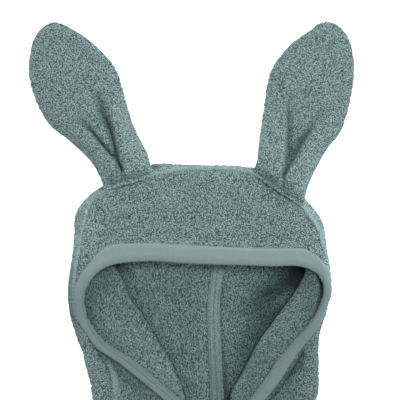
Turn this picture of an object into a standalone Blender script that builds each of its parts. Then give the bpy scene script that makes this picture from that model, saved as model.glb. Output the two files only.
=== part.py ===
"""A child's hooded terry robe with two long ears, laid out flat on its back.

The robe is drawn from above: +X is to the right, +Y is towards the ears and +Z is up.
Tables hold millimetres from the middle of the neck seam, and NECK_Y moves that point so that
the origin is under the middle of the whole robe.
"""
import math

import bpy
import numpy as np
from mathutils import Matrix

MM = 0.001

# Cloth
CLOTH = 2.2             # thickness of the terry
EAR_CLOTH = 2.0         # thickness of one side of an ear
TAPE = 1.4              # thickness of the tape over the centre-back seam
BINDING = 0.9           # thickness of the smooth binding
GAP = 0.3               # space between two pieces that are sewn together
SPACE = 1.0             # air between two layers that lie on each other
LAYER = CLOTH + SPACE   # height from one layer of cloth to the next

# Where the robe lies
NECK_Y = 80.7           # the neck seam's distance from the origin
CENTRE_X = 11.0         # the centre-back seam lies a little to the right
BED = CLOTH / 2         # height of the middle of the lowest layer

# Body, from the neck seam
NECK_HALF = 95.0
SHOULDER_X = 155.0
SHOULDER_Y = -28.0
UNDERARM_X = 165.0
UNDERARM_Y = -165.0
HEM_X = 215.0
HEM_Y = -560.0
SLEEVE_LENGTH = 300.0
SLEEVE_ANGLE = 52.0     # degrees down from level
CUFF_WIDTH = 115.0
LEFT_EDGE_TOP = (44.0, -35.0)     # the left front's edge, where it meets the hood
RIGHT_EDGE_TOP = (4.0, -35.0)
LEFT_EDGE_X = 64.0      # the left front's edge lower down, under the right front
RIGHT_EDGE_X = -34.0    # the right front's edge lower down
EDGE_TURN = 60.0        # how far down the edges take to run straight
LEFT_RISE_START = 27.0  # distance from its edge where the left front starts to rise
LEFT_RISE_RUN = 14.0    # how far it takes to rise
CLIMB_X = 100.0         # where the right front starts to climb on to the left one
CLIMB_RUN = 28.0        # how far it takes to climb
NECK_Y_END = -120.0     # below this the right front's edge no longer rests on the left binding
NECK_Y_RUN = 80.0
NECK_X = 45.0           # and right of this
NECK_X_RUN = 25.0
ROWS_ABOVE_BELT = (-58.0, -95.0, -130.0, UNDERARM_Y)
ROWS_BELOW_BELT = (-350.0, -420.0, -490.0, HEM_Y)
BACK_COLUMNS = (-125.0, -NECK_HALF, -50.0, 0.0, 50.0, NECK_HALF, 125.0)
LEFT_COLUMNS = (-125.0, -NECK_HALF, -50.0, -5.0)
RIGHT_COLUMNS = (125.0, 100.0, 93.0, 86.0, 79.0, 72.0, 45.0, 32.0, 20.0)

# Sleeves
SLEEVE_ROWS = 10
SLEEVE_STRAIGHT = 4.0   # how far a sleeve runs straight out of its armhole
SLEEVE_SPREAD = 0.4     # its layers lie this much further apart away from the armhole

# Belt
BELT_Y = -245.0
BELT_WIDTH = 32.0
BELT = 2.4
BELT_RAMP = 28.0        # the cloth over the belt slopes down within this distance
BELT_SPARE = 2.0        # and is level this far past the belt's edges
BELT_OVER = CLOTH / 2 + GAP + BELT / 2      # its middle, from the middle of the cloth
KNOT_X = 18.0
KNOT_SIZE = (42.0, 38.0, 15.0)
KNOT_ROUND = 0.42       # radius of the knot's edges, as a share of its height
BELT_TURN = 3.0         # the belt starts to turn up this far outside the side seam
BELT_ROUND = 4.0        # and reaches this much further out
BELT_AIR = 0.4          # space under the belt where the cloth below it isn't level
# The belt's way over the fronts, from right to left: the height added to what lies under it
BELT_OVER_RIGHT = ((125.0, 0.0), (100.0, BELT_AIR), (93.0, BELT_AIR), (86.0, BELT_AIR),
                   (79.0, BELT_AIR), (72.0, BELT_AIR), (20.0, BELT_AIR), (-12.0, BELT_AIR))
BELT_OVER_LEFT = ((-54.0, BELT_AIR), (-90.0, 0.0), (-130.0, 0.0))
BINDING_UNDER_BELT = (16.0, -2.0)   # where the belt lies on the right front's binding
TAIL_SPREAD = 15.0      # sideways distance of a tail's top from the knot's middle
TAIL_DRIFT = 4.0        # how much further out its end is
TAIL_HALF = 0.45 * BELT_WIDTH
LOOP = 1.4              # thickness of a belt loop
LOOP_WIDTH = 9.0
LOOP_IN = 16.0          # its distance in from the side seam
# A loop from one end to the other: distance from the belt's middle, and 1 where it is over it
LOOP_STEPS = ((34.0, 0), (24.0, 0), (17.5, 1), (0.0, 1), (-17.5, 1), (-24.0, 0), (-34.0, 0))

# Tape
TAPE_TOP = 228.0        # it starts under the crown
TAPE_END = 1.0
TAPE_HALF = 5.5         # half its width
TAPE_ROWS = 12

# Binding
BINDING_WIDTH = 13.0    # how far it reaches in from the edge
BINDING_OFF = CLOTH / 2 + GAP + BINDING / 2     # its middle, from the middle of the cloth
BINDING_OUT = 0.7       # it turns this far beyond the edge of the cloth
EDGE_RISE = GAP * 2 + BINDING     # the bound edge rests this much higher than its panel
FRONT_CLIMB = EDGE_RISE + BINDING_OFF + BINDING / 2 + GAP + CLOTH / 2

# Fold in the back halves
TURN = 1.6              # radius of the hidden turn of the fold
SLANT = 0.6             # the hidden layer rises this much from its turn to the crease
ROUND = np.radians((-90.0, -30.0, 30.0, 90.0))      # the stops on each of its turns
# How the upper layer comes down again: share of the way out, and of its height
COMING_DOWN = ((0.0, 0.92), (0.35, 0.78), (0.7, 0.52), (1.0, 0.0))
FOLD_SPAN = 18.0        # width of the cloth that goes into the fold, where there is none yet
FOLD_MIDDLE = 5.5       # and its middle's distance from the crease
HIDING_FROM = 0.3       # how much of a fold there is when it starts to hide cloth
FORMED_AT = 0.6         # and when it has the form of its turns
RISEN_AT = 0.42         # and its height

TERRY_COLOUR = (0.165, 0.235, 0.239, 1.0)
BINDING_COLOUR = (0.240, 0.320, 0.330, 1.0)

# One side of the hood, from its top down to the neck. Each section starts on the centre-back
# seam at the height centre_y, runs to the outline (side), over it to the seam with the front
# band (seam) and on to the bound edge of the mouth (edge). In height, roll is the radius at the
# outline, reach how far in the cloth keeps rising, top how high it gets, and edge_z the edge.
# crease, hidden, crest and fold give the fold in the back half: where its crease is, as a share
# of the way from the centre-back seam to the outline, how much cloth it hides, the radius of
# the crease, and how much of the fold there is, from 0 to 1.
SIDE_COLUMNS = ("centre_y", "side_x", "side_y", "seam_x", "seam_y", "edge_x", "edge_y",
                "roll", "reach", "top", "edge_z", "crease", "hidden", "crest", "fold")
LEFT_SIDE = (
    (237.5, 11.0, 257.0, 11.0, 253.0, 11.0, 160.0, 8.0, 12.0, 18.5, 15.0, 0.700, 8.0, 1.7, 0.00),
    (219.5, -22.0, 256.5, -22.0, 252.0, -20.0, 161.5, 8.0, 12.0, 18.5, 15.0, 0.700, 8.0, 1.7, 0.00),
    (204.5, -51.5, 254.0, -50.5, 246.5, -47.5, 162.5, 8.0, 12.0, 18.5, 15.0, 0.700, 8.0, 1.7, 0.00),
    (192.0, -79.0, 247.5, -76.0, 240.5, -72.0, 162.5, 8.0, 12.0, 18.5, 15.0, 0.700, 8.0, 1.7, 0.00),
    (180.0, -101.0, 239.5, -97.0, 232.0, -89.5, 158.5, 8.0, 12.0, 18.5, 15.0, 0.700, 8.0, 1.7, 0.00),
    (170.0, -117.5, 227.5, -110.0, 224.5, -102.0, 153.5, 7.5, 11.0, 18.0, 15.0, 0.700, 8.0, 1.7, 0.00),
    (159.0, -126.5, 209.5, -115.5, 210.5, -110.0, 148.0, 7.0, 10.0, 17.0, 14.5, 0.700, 8.0, 1.7, 0.00),
    (148.5, -128.0, 190.0, -120.5, 191.0, -114.0, 141.5, 6.5, 9.0, 15.5, 13.5, 0.749, 8.0, 1.7, 0.30),
    (137.5, -130.0, 169.0, -124.0, 170.0, -116.5, 134.0, 6.0, 8.0, 14.0, 12.8, 0.704, 8.0, 1.7, 0.75),
    (126.5, -133.0, 149.5, -127.0, 150.5, -117.5, 125.5, 6.0, 8.0, 14.0, 12.5, 0.621, 9.0, 1.7, 1.00),
    (116.5, -134.5, 131.5, -128.5, 132.5, -117.5, 117.5, 6.0, 8.0, 14.0, 12.5, 0.571, 10.0, 1.7, 1.00),
    (107.0, -133.5, 114.5, -127.0, 116.5, -115.5, 107.5, 6.0, 8.0, 14.0, 12.5, 0.500, 10.0, 1.7, 1.00),
    (95.0, -129.5, 99.0, -123.0, 102.5, -112.0, 96.5, 6.0, 9.0, 14.0, 12.5, 0.453, 10.0, 1.7, 1.00),
    (83.0, -125.0, 85.0, -115.5, 89.0, -103.0, 86.5, 6.0, 11.0, 13.8, 12.4, 0.408, 10.0, 1.7, 1.00),
    (73.0, -122.0, 74.0, -105.0, 76.0, -88.0, 76.5, 5.5, 14.0, 13.5, 12.3, 0.371, 10.0, 1.7, 1.00),
    (63.5, -119.5, 63.5, -94.0, 63.5, -71.0, 66.5, 5.5, 15.0, 13.0, 12.3, 0.334, 10.0, 1.7, 1.00),
    (51.5, -116.5, 51.5, -90.0, 51.5, -55.5, 54.0, 5.5, 15.0, 13.0, 12.2, 0.309, 10.0, 1.7, 1.00),
    (38.5, -113.5, 38.5, -88.0, 38.5, -39.0, 39.0, 5.0, 15.0, 12.5, 12.0, 0.290, 10.0, 1.7, 1.00),
    (25.5, -112.0, 25.5, -87.0, 25.0, -23.0, 24.5, 4.5, 14.0, 11.0, 12.0, 0.274, 10.0, 1.7, 0.60),
    (13.0, -105.0, 13.0, -85.0, 10.0, 3.0, 2.5, 2.8, 7.0, 7.4, 8.4, 0.270, 10.0, 1.7, 0.10),
    (0.6, -95.0, 0.6, -80.0, -3.2, 43.7, -34.2, 1.6, 2.0, 4.3, 5.8, 0.270, 10.0, 1.7, 0.00),
)
RIGHT_SIDE = (
    (237.5, 11.0, 257.0, 11.0, 253.0, 11.0, 160.0, 8.0, 12.0, 18.5, 15.0, 0.700, 8.0, 1.7, 0.00),
    (219.5, 41.5, 256.0, 41.5, 251.0, 41.5, 158.5, 8.0, 12.0, 18.5, 15.0, 0.700, 8.0, 1.7, 0.00),
    (204.5, 68.0, 250.0, 65.5, 240.5, 68.0, 158.5, 8.0, 12.0, 18.5, 15.0, 0.700, 8.0, 1.7, 0.00),
    (192.0, 87.0, 241.0, 81.0, 231.5, 86.0, 159.0, 8.0, 12.0, 18.5, 15.0, 0.700, 8.0, 1.7, 0.00),
    (180.0, 102.0, 226.5, 92.5, 221.0, 99.0, 157.5, 8.0, 12.0, 18.5, 15.0, 0.700, 8.0, 1.7, 0.00),
    (168.0, 112.5, 211.5, 104.0, 207.0, 105.5, 155.0, 7.5, 11.0, 18.0, 15.0, 0.700, 8.0, 1.7, 0.00),
    (156.5, 117.5, 197.5, 112.0, 194.0, 110.5, 152.5, 7.5, 10.0, 17.5, 15.0, 0.700, 6.0, 1.7, 0.00),
    (144.5, 120.0, 178.0, 116.5, 177.0, 114.0, 149.0, 7.0, 8.0, 16.5, 15.0, 0.897, 6.0, 2.0, 0.20),
    (133.5, 123.0, 161.5, 120.0, 161.5, 116.5, 144.0, 7.0, 7.0, 16.0, 14.5, 0.832, 6.0, 2.6, 0.60),
    (124.5, 125.0, 146.5, 122.5, 147.0, 118.0, 137.0, 7.0, 7.0, 16.0, 14.5, 0.754, 7.0, 3.2, 1.00),
    (114.5, 125.5, 133.5, 123.0, 134.0, 118.0, 127.5, 7.0, 7.0, 16.0, 14.5, 0.669, 9.0, 3.2, 1.00),
    (102.0, 122.5, 115.5, 119.0, 116.5, 113.0, 112.5, 6.5, 7.0, 15.8, 14.5, 0.568, 10.0, 3.2, 1.00),
    (91.0, 118.5, 102.0, 113.0, 104.0, 103.0, 98.5, 6.0, 8.0, 15.5, 14.5, 0.504, 10.0, 3.2, 1.00),
    (81.0, 114.5, 89.0, 107.0, 91.0, 92.0, 87.0, 6.0, 11.0, 15.0, 14.2, 0.444, 10.0, 3.2, 1.00),
    (71.0, 112.5, 77.0, 101.5, 78.5, 83.0, 76.0, 6.0, 13.0, 14.5, 14.0, 0.385, 10.0, 3.2, 1.00),
    (60.5, 112.5, 63.5, 97.5, 64.5, 73.5, 63.0, 6.0, 14.0, 14.2, 14.0, 0.323, 10.0, 3.2, 1.00),
    (46.5, 112.5, 48.5, 93.5, 49.0, 64.0, 48.0, 5.5, 15.0, 14.0, 13.8, 0.247, 10.0, 3.0, 1.00),
    (31.5, 112.0, 32.5, 90.5, 31.5, 50.5, 30.0, 5.0, 15.0, 12.5, 13.4, 0.184, 10.0, 2.4, 0.80),
    (15.0, 106.0, 18.0, 87.0, 13.0, 31.0, 7.0, 3.0, 7.0, 8.0, 13.3, 0.150, 10.0, 2.0, 0.15),
    (0.6, 95.0, 0.6, 82.0, -4.2, 4.3, -34.2, 1.6, 2.0, 4.3, 11.0, 0.150, 10.0, 1.7, 0.00),
)

# Ears from the seam to the tip: the two edges of the outline.
EAR_COLUMNS = ("left_x", "left_y", "right_x", "right_y")
LEFT_EAR = (
    (-102.0, 230.5, -49.5, 246.5),
    (-107.0, 244.5, -51.5, 256.0),
    (-113.0, 258.0, -54.5, 267.0),
    (-122.5, 270.0, -59.5, 277.0),
    (-136.5, 284.0, -65.5, 288.0),
    (-152.0, 296.5, -71.0, 300.5),
    (-162.0, 311.5, -75.0, 313.5),
    (-168.0, 325.5, -79.0, 326.5),
    (-172.0, 341.0, -83.0, 341.0),
    (-173.0, 355.0, -89.5, 356.0),
    (-171.5, 369.0, -101.0, 369.0),
    (-168.0, 382.0, -115.5, 382.0),
    (-161.0, 391.5, -130.0, 391.5),
    (-150.5, 398.0, -140.5, 398.0),
)
RIGHT_EAR = (
    (46.5, 250.0, 100.0, 213.5),
    (49.5, 258.0, 104.0, 230.5),
    (52.0, 267.0, 109.0, 246.5),
    (53.5, 278.0, 114.5, 260.0),
    (55.5, 290.0, 122.5, 274.0),
    (57.5, 303.5, 134.5, 289.0),
    (59.5, 317.5, 141.0, 305.5),
    (61.0, 329.5, 144.5, 320.5),
    (63.5, 341.0, 147.5, 337.0),
    (67.5, 353.0, 148.5, 352.0),
    (75.0, 366.0, 147.0, 367.0),
    (86.0, 379.0, 143.0, 380.0),
    (101.0, 389.5, 136.5, 390.5),
    (115.0, 398.0, 125.5, 398.0),
)

# Pinched grooves that run up each ear from its seam: share of the ear's length, place across
# the ear, and depth.
GROOVE_COLUMNS = ("along", "across", "depth")
LEFT_GROOVES = (
    ((0.0, 0.42, 3.0), (0.1, 0.46, 4.5), (0.2, 0.53, 4.5), (0.3, 0.62, 4.0), (0.4, 0.70, 3.2),
     (0.5, 0.69, 2.2), (0.6, 0.70, 1.0), (0.7, 0.70, 0.0), (1.0, 0.70, 0.0)),
    ((0.0, 0.42, 2.0), (0.1, 0.43, 3.0), (0.2, 0.42, 3.0), (0.3, 0.38, 2.4), (0.4, 0.40, 0.8),
     (0.5, 0.40, 0.0), (1.0, 0.40, 0.0)),
)
RIGHT_GROOVES = (
    ((0.0, 0.54, 3.0), (0.1, 0.54, 4.5), (0.2, 0.51, 4.0), (0.3, 0.43, 3.4), (0.4, 0.33, 2.4),
     (0.5, 0.30, 1.6), (0.6, 0.28, 0.8), (0.7, 0.28, 0.0), (1.0, 0.28, 0.0)),
    ((0.0, 0.54, 2.0), (0.1, 0.57, 3.5), (0.2, 0.61, 4.0), (0.3, 0.65, 3.4), (0.4, 0.64, 2.0),
     (0.5, 0.68, 1.0), (0.6, 0.68, 0.0), (1.0, 0.68, 0.0)),
)
GROOVE_WIDTH = 0.075
EAR_PUFF = 3.2          # how far the upper side of an ear swells above the lower one
EAR_HUMP = 5.0          # and how much more near its seam
# How high an ear lies at a distance from its seam: over the hood's top fold and down.
EAR_DRAPE = ((0.0, 21.4), (10.0, 21.4), (18.0, 20.2), (28.0, 16.6), (40.0, 10.8), (52.0, 6.0),
             (64.0, 2.8), (78.0, 1.15), (92.0, 1.0), (400.0, 1.0))

# Fineness of the grids
SECTIONS = 29
EAR_ROWS = 14
EAR_STRIPS = 10


def clear_scene():
    for thing in list(bpy.data.objects):
        bpy.data.objects.remove(thing, do_unlink=True)


def new_collection(name):
    collection = bpy.data.collections.new(name)
    bpy.context.scene.collection.children.link(collection)
    return collection


def cloth_material(name, colour, roughness):
    material = bpy.data.materials.new(name)
    material.use_nodes = True
    shader = material.node_tree.nodes["Principled BSDF"]
    shader.inputs["Base Color"].default_value = colour
    shader.inputs["Roughness"].default_value = roughness
    shader.inputs["Metallic"].default_value = 0.0
    material.diffuse_color = colour
    return material


def smooth(t):
    """Eases from 0 to 1 with level ends."""
    t = np.clip(t, 0.0, 1.0)
    return t * t * (3.0 - 2.0 * t)


def through(rows, count):
    """Samples a smooth curve that passes through evenly spaced rows."""
    rows = np.asarray(rows, dtype=float)
    slopes = np.gradient(rows, axis=0)
    where = np.linspace(0.0, len(rows) - 1.0, count)
    low = np.minimum(where.astype(int), len(rows) - 2)
    t = (where - low)[:, None]
    start, end = rows[low], rows[low + 1]
    out, into = slopes[low], slopes[low + 1]
    return ((2 * t**3 - 3 * t**2 + 1) * start + (t**3 - 2 * t**2 + t) * out
            + (3 * t**2 - 2 * t**3) * end + (t**3 - t**2) * into)


def named(columns, values):
    return {name: values[:, index] for index, name in enumerate(columns)}


def hood_sections(table):
    """Gives every named value of one side of the hood at evenly spaced sections."""
    values = named(SIDE_COLUMNS, through(table, SECTIONS))
    values["fold"] = np.clip(values["fold"], 0.0, 1.0)
    return values


def measure(section):
    """Adds the widths of the strip outside the seam and of the band inside it."""
    section["seam_q"] = np.hypot(section["seam_x"] - section["side_x"],
                                 section["seam_y"] - section["side_y"])
    section["band"] = np.hypot(section["edge_x"] - section["seam_x"],
                               section["edge_y"] - section["seam_y"])
    section["meet"] = 1.0 - smooth(section["centre_y"] / 24.0)
    return section


def rise(section, k, q):
    """Height of the upper cloth at the distance q in from the outline."""
    start = BED + section["roll"][k]
    top = section["top"][k]
    reach = section["reach"][k]
    width = section["seam_q"][k] + section["band"][k]
    lift_share = np.clip(q / reach, 0.0, 1.0)
    arch = start + (top - start) * np.sqrt(np.clip(1.0 - (1.0 - lift_share)**2, 0.0, 1.0))
    fall = smooth((q - reach) / max(width - reach, 1.0))
    return arch + (section["edge_z"][k] - top) * fall


def fold_path(section, k, length):
    """Lower layer from the centre-back seam to the outline's roll: (distance, height) pairs.

    The cloth runs out past the crease, turns back over itself to the crease, turns again there
    and runs out over both layers.
    """
    amount = section["fold"][k]
    crease = section["crease"][k] * length
    hidden = section["hidden"][k] * max(amount - HIDING_FROM, 0.0) / (1.0 - HIDING_FROM)
    crest = section["crest"][k]
    inner = crease + hidden
    points = [(0.0, BED), (crease * 0.45, BED), (crease * 0.88, BED)]
    points += [(inner + TURN * math.cos(a), BED + TURN + TURN * math.sin(a)) for a in ROUND]
    second = BED + 2 * TURN + SLANT
    points += [(crease + crest - crest * math.cos(a), second + crest + crest * math.sin(a))
               for a in ROUND]
    upper = second + 2 * crest
    end = length - section["roll"][k]
    over = inner + TURN + CLOTH
    for share, height in COMING_DOWN:
        points.append((over + (end - over) * share, BED + (upper - BED) * height))
    folded = np.array(points)
    half = 0.5 * min(FOLD_SPAN, 0.5 * end)
    middle = min(crease + FOLD_MIDDLE, 0.62 * end)
    flat = np.concatenate(((middle - half) * np.array((0.0, 0.45, 0.9)),
                           np.linspace(middle - half, middle + half, 8),
                           np.linspace(middle + half, end, 5)[1:]))
    formed = min(amount / FORMED_AT, 1.0)
    risen = float(smooth(amount / RISEN_AT))
    place = flat + (folded[:, 0] - flat) * formed
    return np.column_stack((place, BED + (folded[:, 1] - BED) * risen))


def back_half(section, sign):
    """Grid of a back half: along the table, round the outline and up to the seam."""
    rows = []
    for k in range(len(section["side_x"])):
        centre = np.array((CENTRE_X, section["centre_y"][k]))
        side = np.array((section["side_x"][k], section["side_y"][k]))
        seam = np.array((section["seam_x"][k], section["seam_y"][k]))
        length = np.hypot(*(side - centre))
        out = (side - centre) / length
        row = [(*(centre + out * p), z) for p, z in fold_path(section, k, length)]
        roll = section["roll"][k]
        for angle in np.radians((30.0, 60.0, 90.0)):
            p = length - roll + roll * math.sin(angle)
            row.append((*(centre + out * p), BED + roll - roll * math.cos(angle)))
        inward = (seam - side) / section["seam_q"][k]
        last = section["seam_q"][k] - GAP / 2
        for share in (0.08, 0.3, 0.62, 1.0):
            q = last * share
            row.append((*(side + inward * q), float(rise(section, k, q))))
        rows.append(row)
    grid = np.array(rows)
    grid[:, :, 0] += sign * GAP / 2
    return grid


def binding_reach(section, k):
    """How far the binding reaches over the band from its edge."""
    return min(BINDING_WIDTH, 0.7 * section["band"][k])


def band_distances(section, k):
    """Distances of the band's columns from its bound edge, closer together at the seam."""
    width = section["band"][k] - GAP / 2
    bound = binding_reach(section, k)
    free = width - bound
    close = np.array((0.0, 0.03, 0.08, 0.15, 0.36, 0.68))
    even = np.linspace(0.0, 1.0, 7)[:-1]
    mix = float(smooth((free - 8.0) / 30.0))
    outer = width - free * (even + (close - even) * mix)
    return np.concatenate((outer, bound * np.array((1.0, 2 / 3, 1 / 3, 0.0))))


def band_grid(section, front_height):
    """Grid of one side of the front band, from its seam to its bound edge."""
    rows = []
    for k in range(len(section["side_x"])):
        seam = np.array((section["seam_x"][k], section["seam_y"][k]))
        edge = np.array((section["edge_x"][k], section["edge_y"][k]))
        inward = (edge - seam) / section["band"][k]
        row = []
        for away in band_distances(section, k):
            x, y = edge - inward * away
            z = float(rise(section, k, section["seam_q"][k] + section["band"][k] - away))
            front = float(front_height(np.array(x), np.array(y)))
            row.append((x, y, z + (front - z) * section["meet"][k]))
        rows.append(row)
    return np.array(rows)


def grid_normals(grid):
    """Directions straight out of a grid's surface, turned to face up."""
    down = np.gradient(grid, axis=0)
    across = np.gradient(grid, axis=1)
    normal = np.cross(down, across)
    normal /= np.linalg.norm(normal, axis=-1, keepdims=True)
    return np.where(normal[..., 2:] < 0.0, -normal, normal)


def wrap_edge(grid, columns):
    """Rows of a binding round the last column of a grid: over it, round it and under it."""
    normal = grid_normals(grid)
    over = grid[:, -columns:] + normal[:, -columns:] * BINDING_OFF
    under = grid[:, -columns:] - normal[:, -columns:] * BINDING_OFF
    out = grid[:, -1] - grid[:, -2]
    out /= np.linalg.norm(out, axis=-1, keepdims=True)
    over[:, -1] += out * BINDING_OUT
    under[:, -1] += out * BINDING_OUT
    tip = grid[:, -1] + out * (BINDING_OFF + BINDING_OUT)
    return np.concatenate((over, tip[:, None], under[:, ::-1][:, :columns - 1]), axis=1)


def sheet(name, grid, thickness, material, collection, closed=False):
    """One piece of cloth from a grid of points in millimetres, given its thickness."""
    points = np.asarray(grid, dtype=float).copy()
    points[..., 1] += NECK_Y
    rows, columns = points.shape[:2]
    faces = []
    last = columns if closed else columns - 1
    for r in range(rows - 1):
        for c in range(last):
            n = (c + 1) % columns
            faces.append((r * columns + c, r * columns + n,
                          (r + 1) * columns + n, (r + 1) * columns + c))
    mesh = bpy.data.meshes.new(name)
    mesh.from_pydata((points.reshape(-1, 3) * MM).tolist(), [], faces)
    mesh.update()
    mesh.materials.append(material)
    mesh.shade_smooth()
    piece = bpy.data.objects.new(name, mesh)
    collection.objects.link(piece)
    wall = piece.modifiers.new("Wall", "SOLIDIFY")
    wall.thickness = thickness * MM
    wall.offset = 0.0
    return piece


def build_hood(collection, terry):
    """Builds the back halves and the front band, and gives the band's grid."""
    left = measure(hood_sections(LEFT_SIDE))
    right = measure(hood_sections(RIGHT_SIDE))
    sheet("hood_back_left", back_half(left, -1), CLOTH, terry, collection)
    sheet("hood_back_right", back_half(right, 1), CLOTH, terry, collection)
    left_band = band_grid(left, left_height)
    right_band = band_grid(right, right_height)
    band = np.concatenate((left_band[::-1], right_band[1:]))
    sheet("hood_front", band, CLOTH, terry, collection)
    return band


def lift(y):
    """How much the belt under the robe lifts the cloth."""
    away = (np.abs(y - BELT_Y) - BELT_WIDTH / 2 - BELT_SPARE) / BELT_RAMP
    return (BELT + GAP) * (1.0 - smooth(away))


def edge_line(y, top, low_x):
    """Where a front's bound edge is."""
    return top[0] + (low_x - top[0]) * (1.0 - np.exp(np.minimum(y - top[1], 0.0) / EDGE_TURN))


def back_height(x, y):
    return BED + lift(y)


def left_height(x, y):
    """The left front lies on the back and rises where its edge is bound."""
    away = edge_line(y, LEFT_EDGE_TOP, LEFT_EDGE_X) - x
    return BED + LAYER + EDGE_RISE * smooth((LEFT_RISE_START - away) / LEFT_RISE_RUN) + lift(y)


def right_height(x, y):
    """The right front climbs on to the left one and its binding, and is bound itself."""
    climb = smooth((CLIMB_X - x) / CLIMB_RUN)
    near_neck = smooth((y - NECK_Y_END) / NECK_Y_RUN) * smooth((NECK_X - x) / NECK_X_RUN)
    return BED + LAYER + climb * FRONT_CLIMB + near_neck * EDGE_RISE + lift(y)


def with_height(plan, height):
    z = height(plan[..., 0], plan[..., 1])
    return np.concatenate((plan, z[..., None]), axis=-1)


def body_rows():
    """Heights of the level rows below the neck and shoulders, close together at the belt."""
    flat = BELT_WIDTH / 2 + BELT_SPARE
    belt = [BELT_Y + flat + BELT_RAMP, BELT_Y + flat + BELT_RAMP / 2, BELT_Y + flat,
            BELT_Y - flat, BELT_Y - flat - BELT_RAMP / 2, BELT_Y - flat - BELT_RAMP]
    return np.array([*ROWS_ABOVE_BELT, *belt, *ROWS_BELOW_BELT])


def side_line(y):
    """Half width of the body down the armhole and the side seam."""
    return np.interp(-y, (-SHOULDER_Y, -UNDERARM_Y, -HEM_Y), (SHOULDER_X, UNDERARM_X, HEM_X))


def panel(corners, outer, middle, inner):
    """Plan grid of a flat panel with level rows.

    corners is its top line, outer the side's x on each row, middle the x of the columns that
    run straight down, and inner the x of the last columns on each row.
    """
    y = body_rows()
    x = np.column_stack((outer[1:], np.tile(middle, (len(y), 1)), inner[1:]))
    level = np.stack((x, np.broadcast_to(y[:, None], x.shape)), axis=-1)
    top_x = np.concatenate(([outer[0]], middle, inner[0]))
    order = 1 if corners[0][0] < corners[-1][0] else -1
    line = np.array(corners)[::order]
    top_y = np.interp(top_x, line[:, 0], line[:, 1])
    return np.concatenate((np.stack((top_x, top_y), axis=-1)[None], level))


def build_body(collection, terry):
    """Builds the back and the fronts, and gives the fronts' grids."""
    y = np.concatenate(([SHOULDER_Y], body_rows()))
    side = side_line(y)
    corners = ((-SHOULDER_X, SHOULDER_Y), (-NECK_HALF, -GAP / 2), (NECK_HALF, -GAP / 2),
               (SHOULDER_X, SHOULDER_Y))
    back = panel(corners, -side, BACK_COLUMNS, side[:, None])
    sheet("back", with_height(back, back_height), CLOTH, terry, collection)

    y[0] = LEFT_EDGE_TOP[1]
    corners = ((-SHOULDER_X, SHOULDER_Y), (-NECK_HALF, -GAP), LEFT_EDGE_TOP)
    bound = BINDING_WIDTH * np.array((1.0, 2 / 3, 1 / 3, 0.0))
    rising = (LEFT_RISE_START, LEFT_RISE_START - LEFT_RISE_RUN / 2)
    edge = edge_line(y, LEFT_EDGE_TOP, LEFT_EDGE_X)[:, None]
    inner = edge - np.concatenate((rising, bound))
    left = with_height(panel(corners, -side, LEFT_COLUMNS, inner), left_height)
    sheet("front_left", left, CLOTH, terry, collection)

    corners = ((SHOULDER_X, SHOULDER_Y), (NECK_HALF, -GAP), RIGHT_EDGE_TOP)
    edge = edge_line(y, RIGHT_EDGE_TOP, RIGHT_EDGE_X)[:, None]
    right = with_height(panel(corners, side, RIGHT_COLUMNS, edge + bound), right_height)
    sheet("front_right", right, CLOTH, terry, collection)
    return left, right


def build_sleeve(name, sign, collection, terry):
    """A flat tube from the armhole to the cuff."""
    angle = math.radians(SLEEVE_ANGLE)
    out = np.array((math.cos(angle), -math.sin(angle)))
    across = np.array((-math.sin(angle), -math.cos(angle)))
    upper_start = np.array((SHOULDER_X + GAP, SHOULDER_Y))
    lower_start = np.array((UNDERARM_X + GAP, UNDERARM_Y))
    straight = np.array((SLEEVE_STRAIGHT, 0.0))
    upper_end = upper_start + out * SLEEVE_LENGTH
    lower_end = upper_end + across * CUFF_WIDTH
    lines = [(upper_start, lower_start)]
    for share in np.linspace(0.0, 1.0, SLEEVE_ROWS):
        upper = upper_start + straight
        lower = lower_start + straight
        lines.append((upper + (upper_end - upper) * share, lower + (lower_end - lower) * share))
    rows = []
    for number, (upper, lower) in enumerate(lines):
        half = LAYER / 2 + SLEEVE_SPREAD * float(smooth(number / 4))
        width = np.hypot(*(lower - upper))
        step = (lower - upper) / width
        stops = (half, width * 0.35, width * 0.68, width - half)
        ring = [(*(upper + step * p), BED) for p in stops]
        ring.append((*lower, BED + half))
        ring += [(*(upper + step * p), BED + 2 * half) for p in reversed(stops)]
        ring.append((*upper, BED + half))
        rows.append([(sign * x, y, z) for x, y, z in ring])
    sheet(name, rows, CLOTH, terry, collection, closed=True)


def drape_height(distance):
    near, high = zip(*EAR_DRAPE)
    return np.interp(distance, near, high)


def groove_depth(grooves, share, across):
    """Depth of the pinched grooves at a place on an ear."""
    depth = np.zeros_like(across)
    for groove in grooves:
        row = named(GROOVE_COLUMNS, np.array(groove))
        middle = np.interp(share, row["along"], row["across"])
        deep = np.interp(share, row["along"], row["depth"])
        depth = depth + deep * np.exp(-((across - middle) / GROOVE_WIDTH)**2)
    return depth


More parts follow.
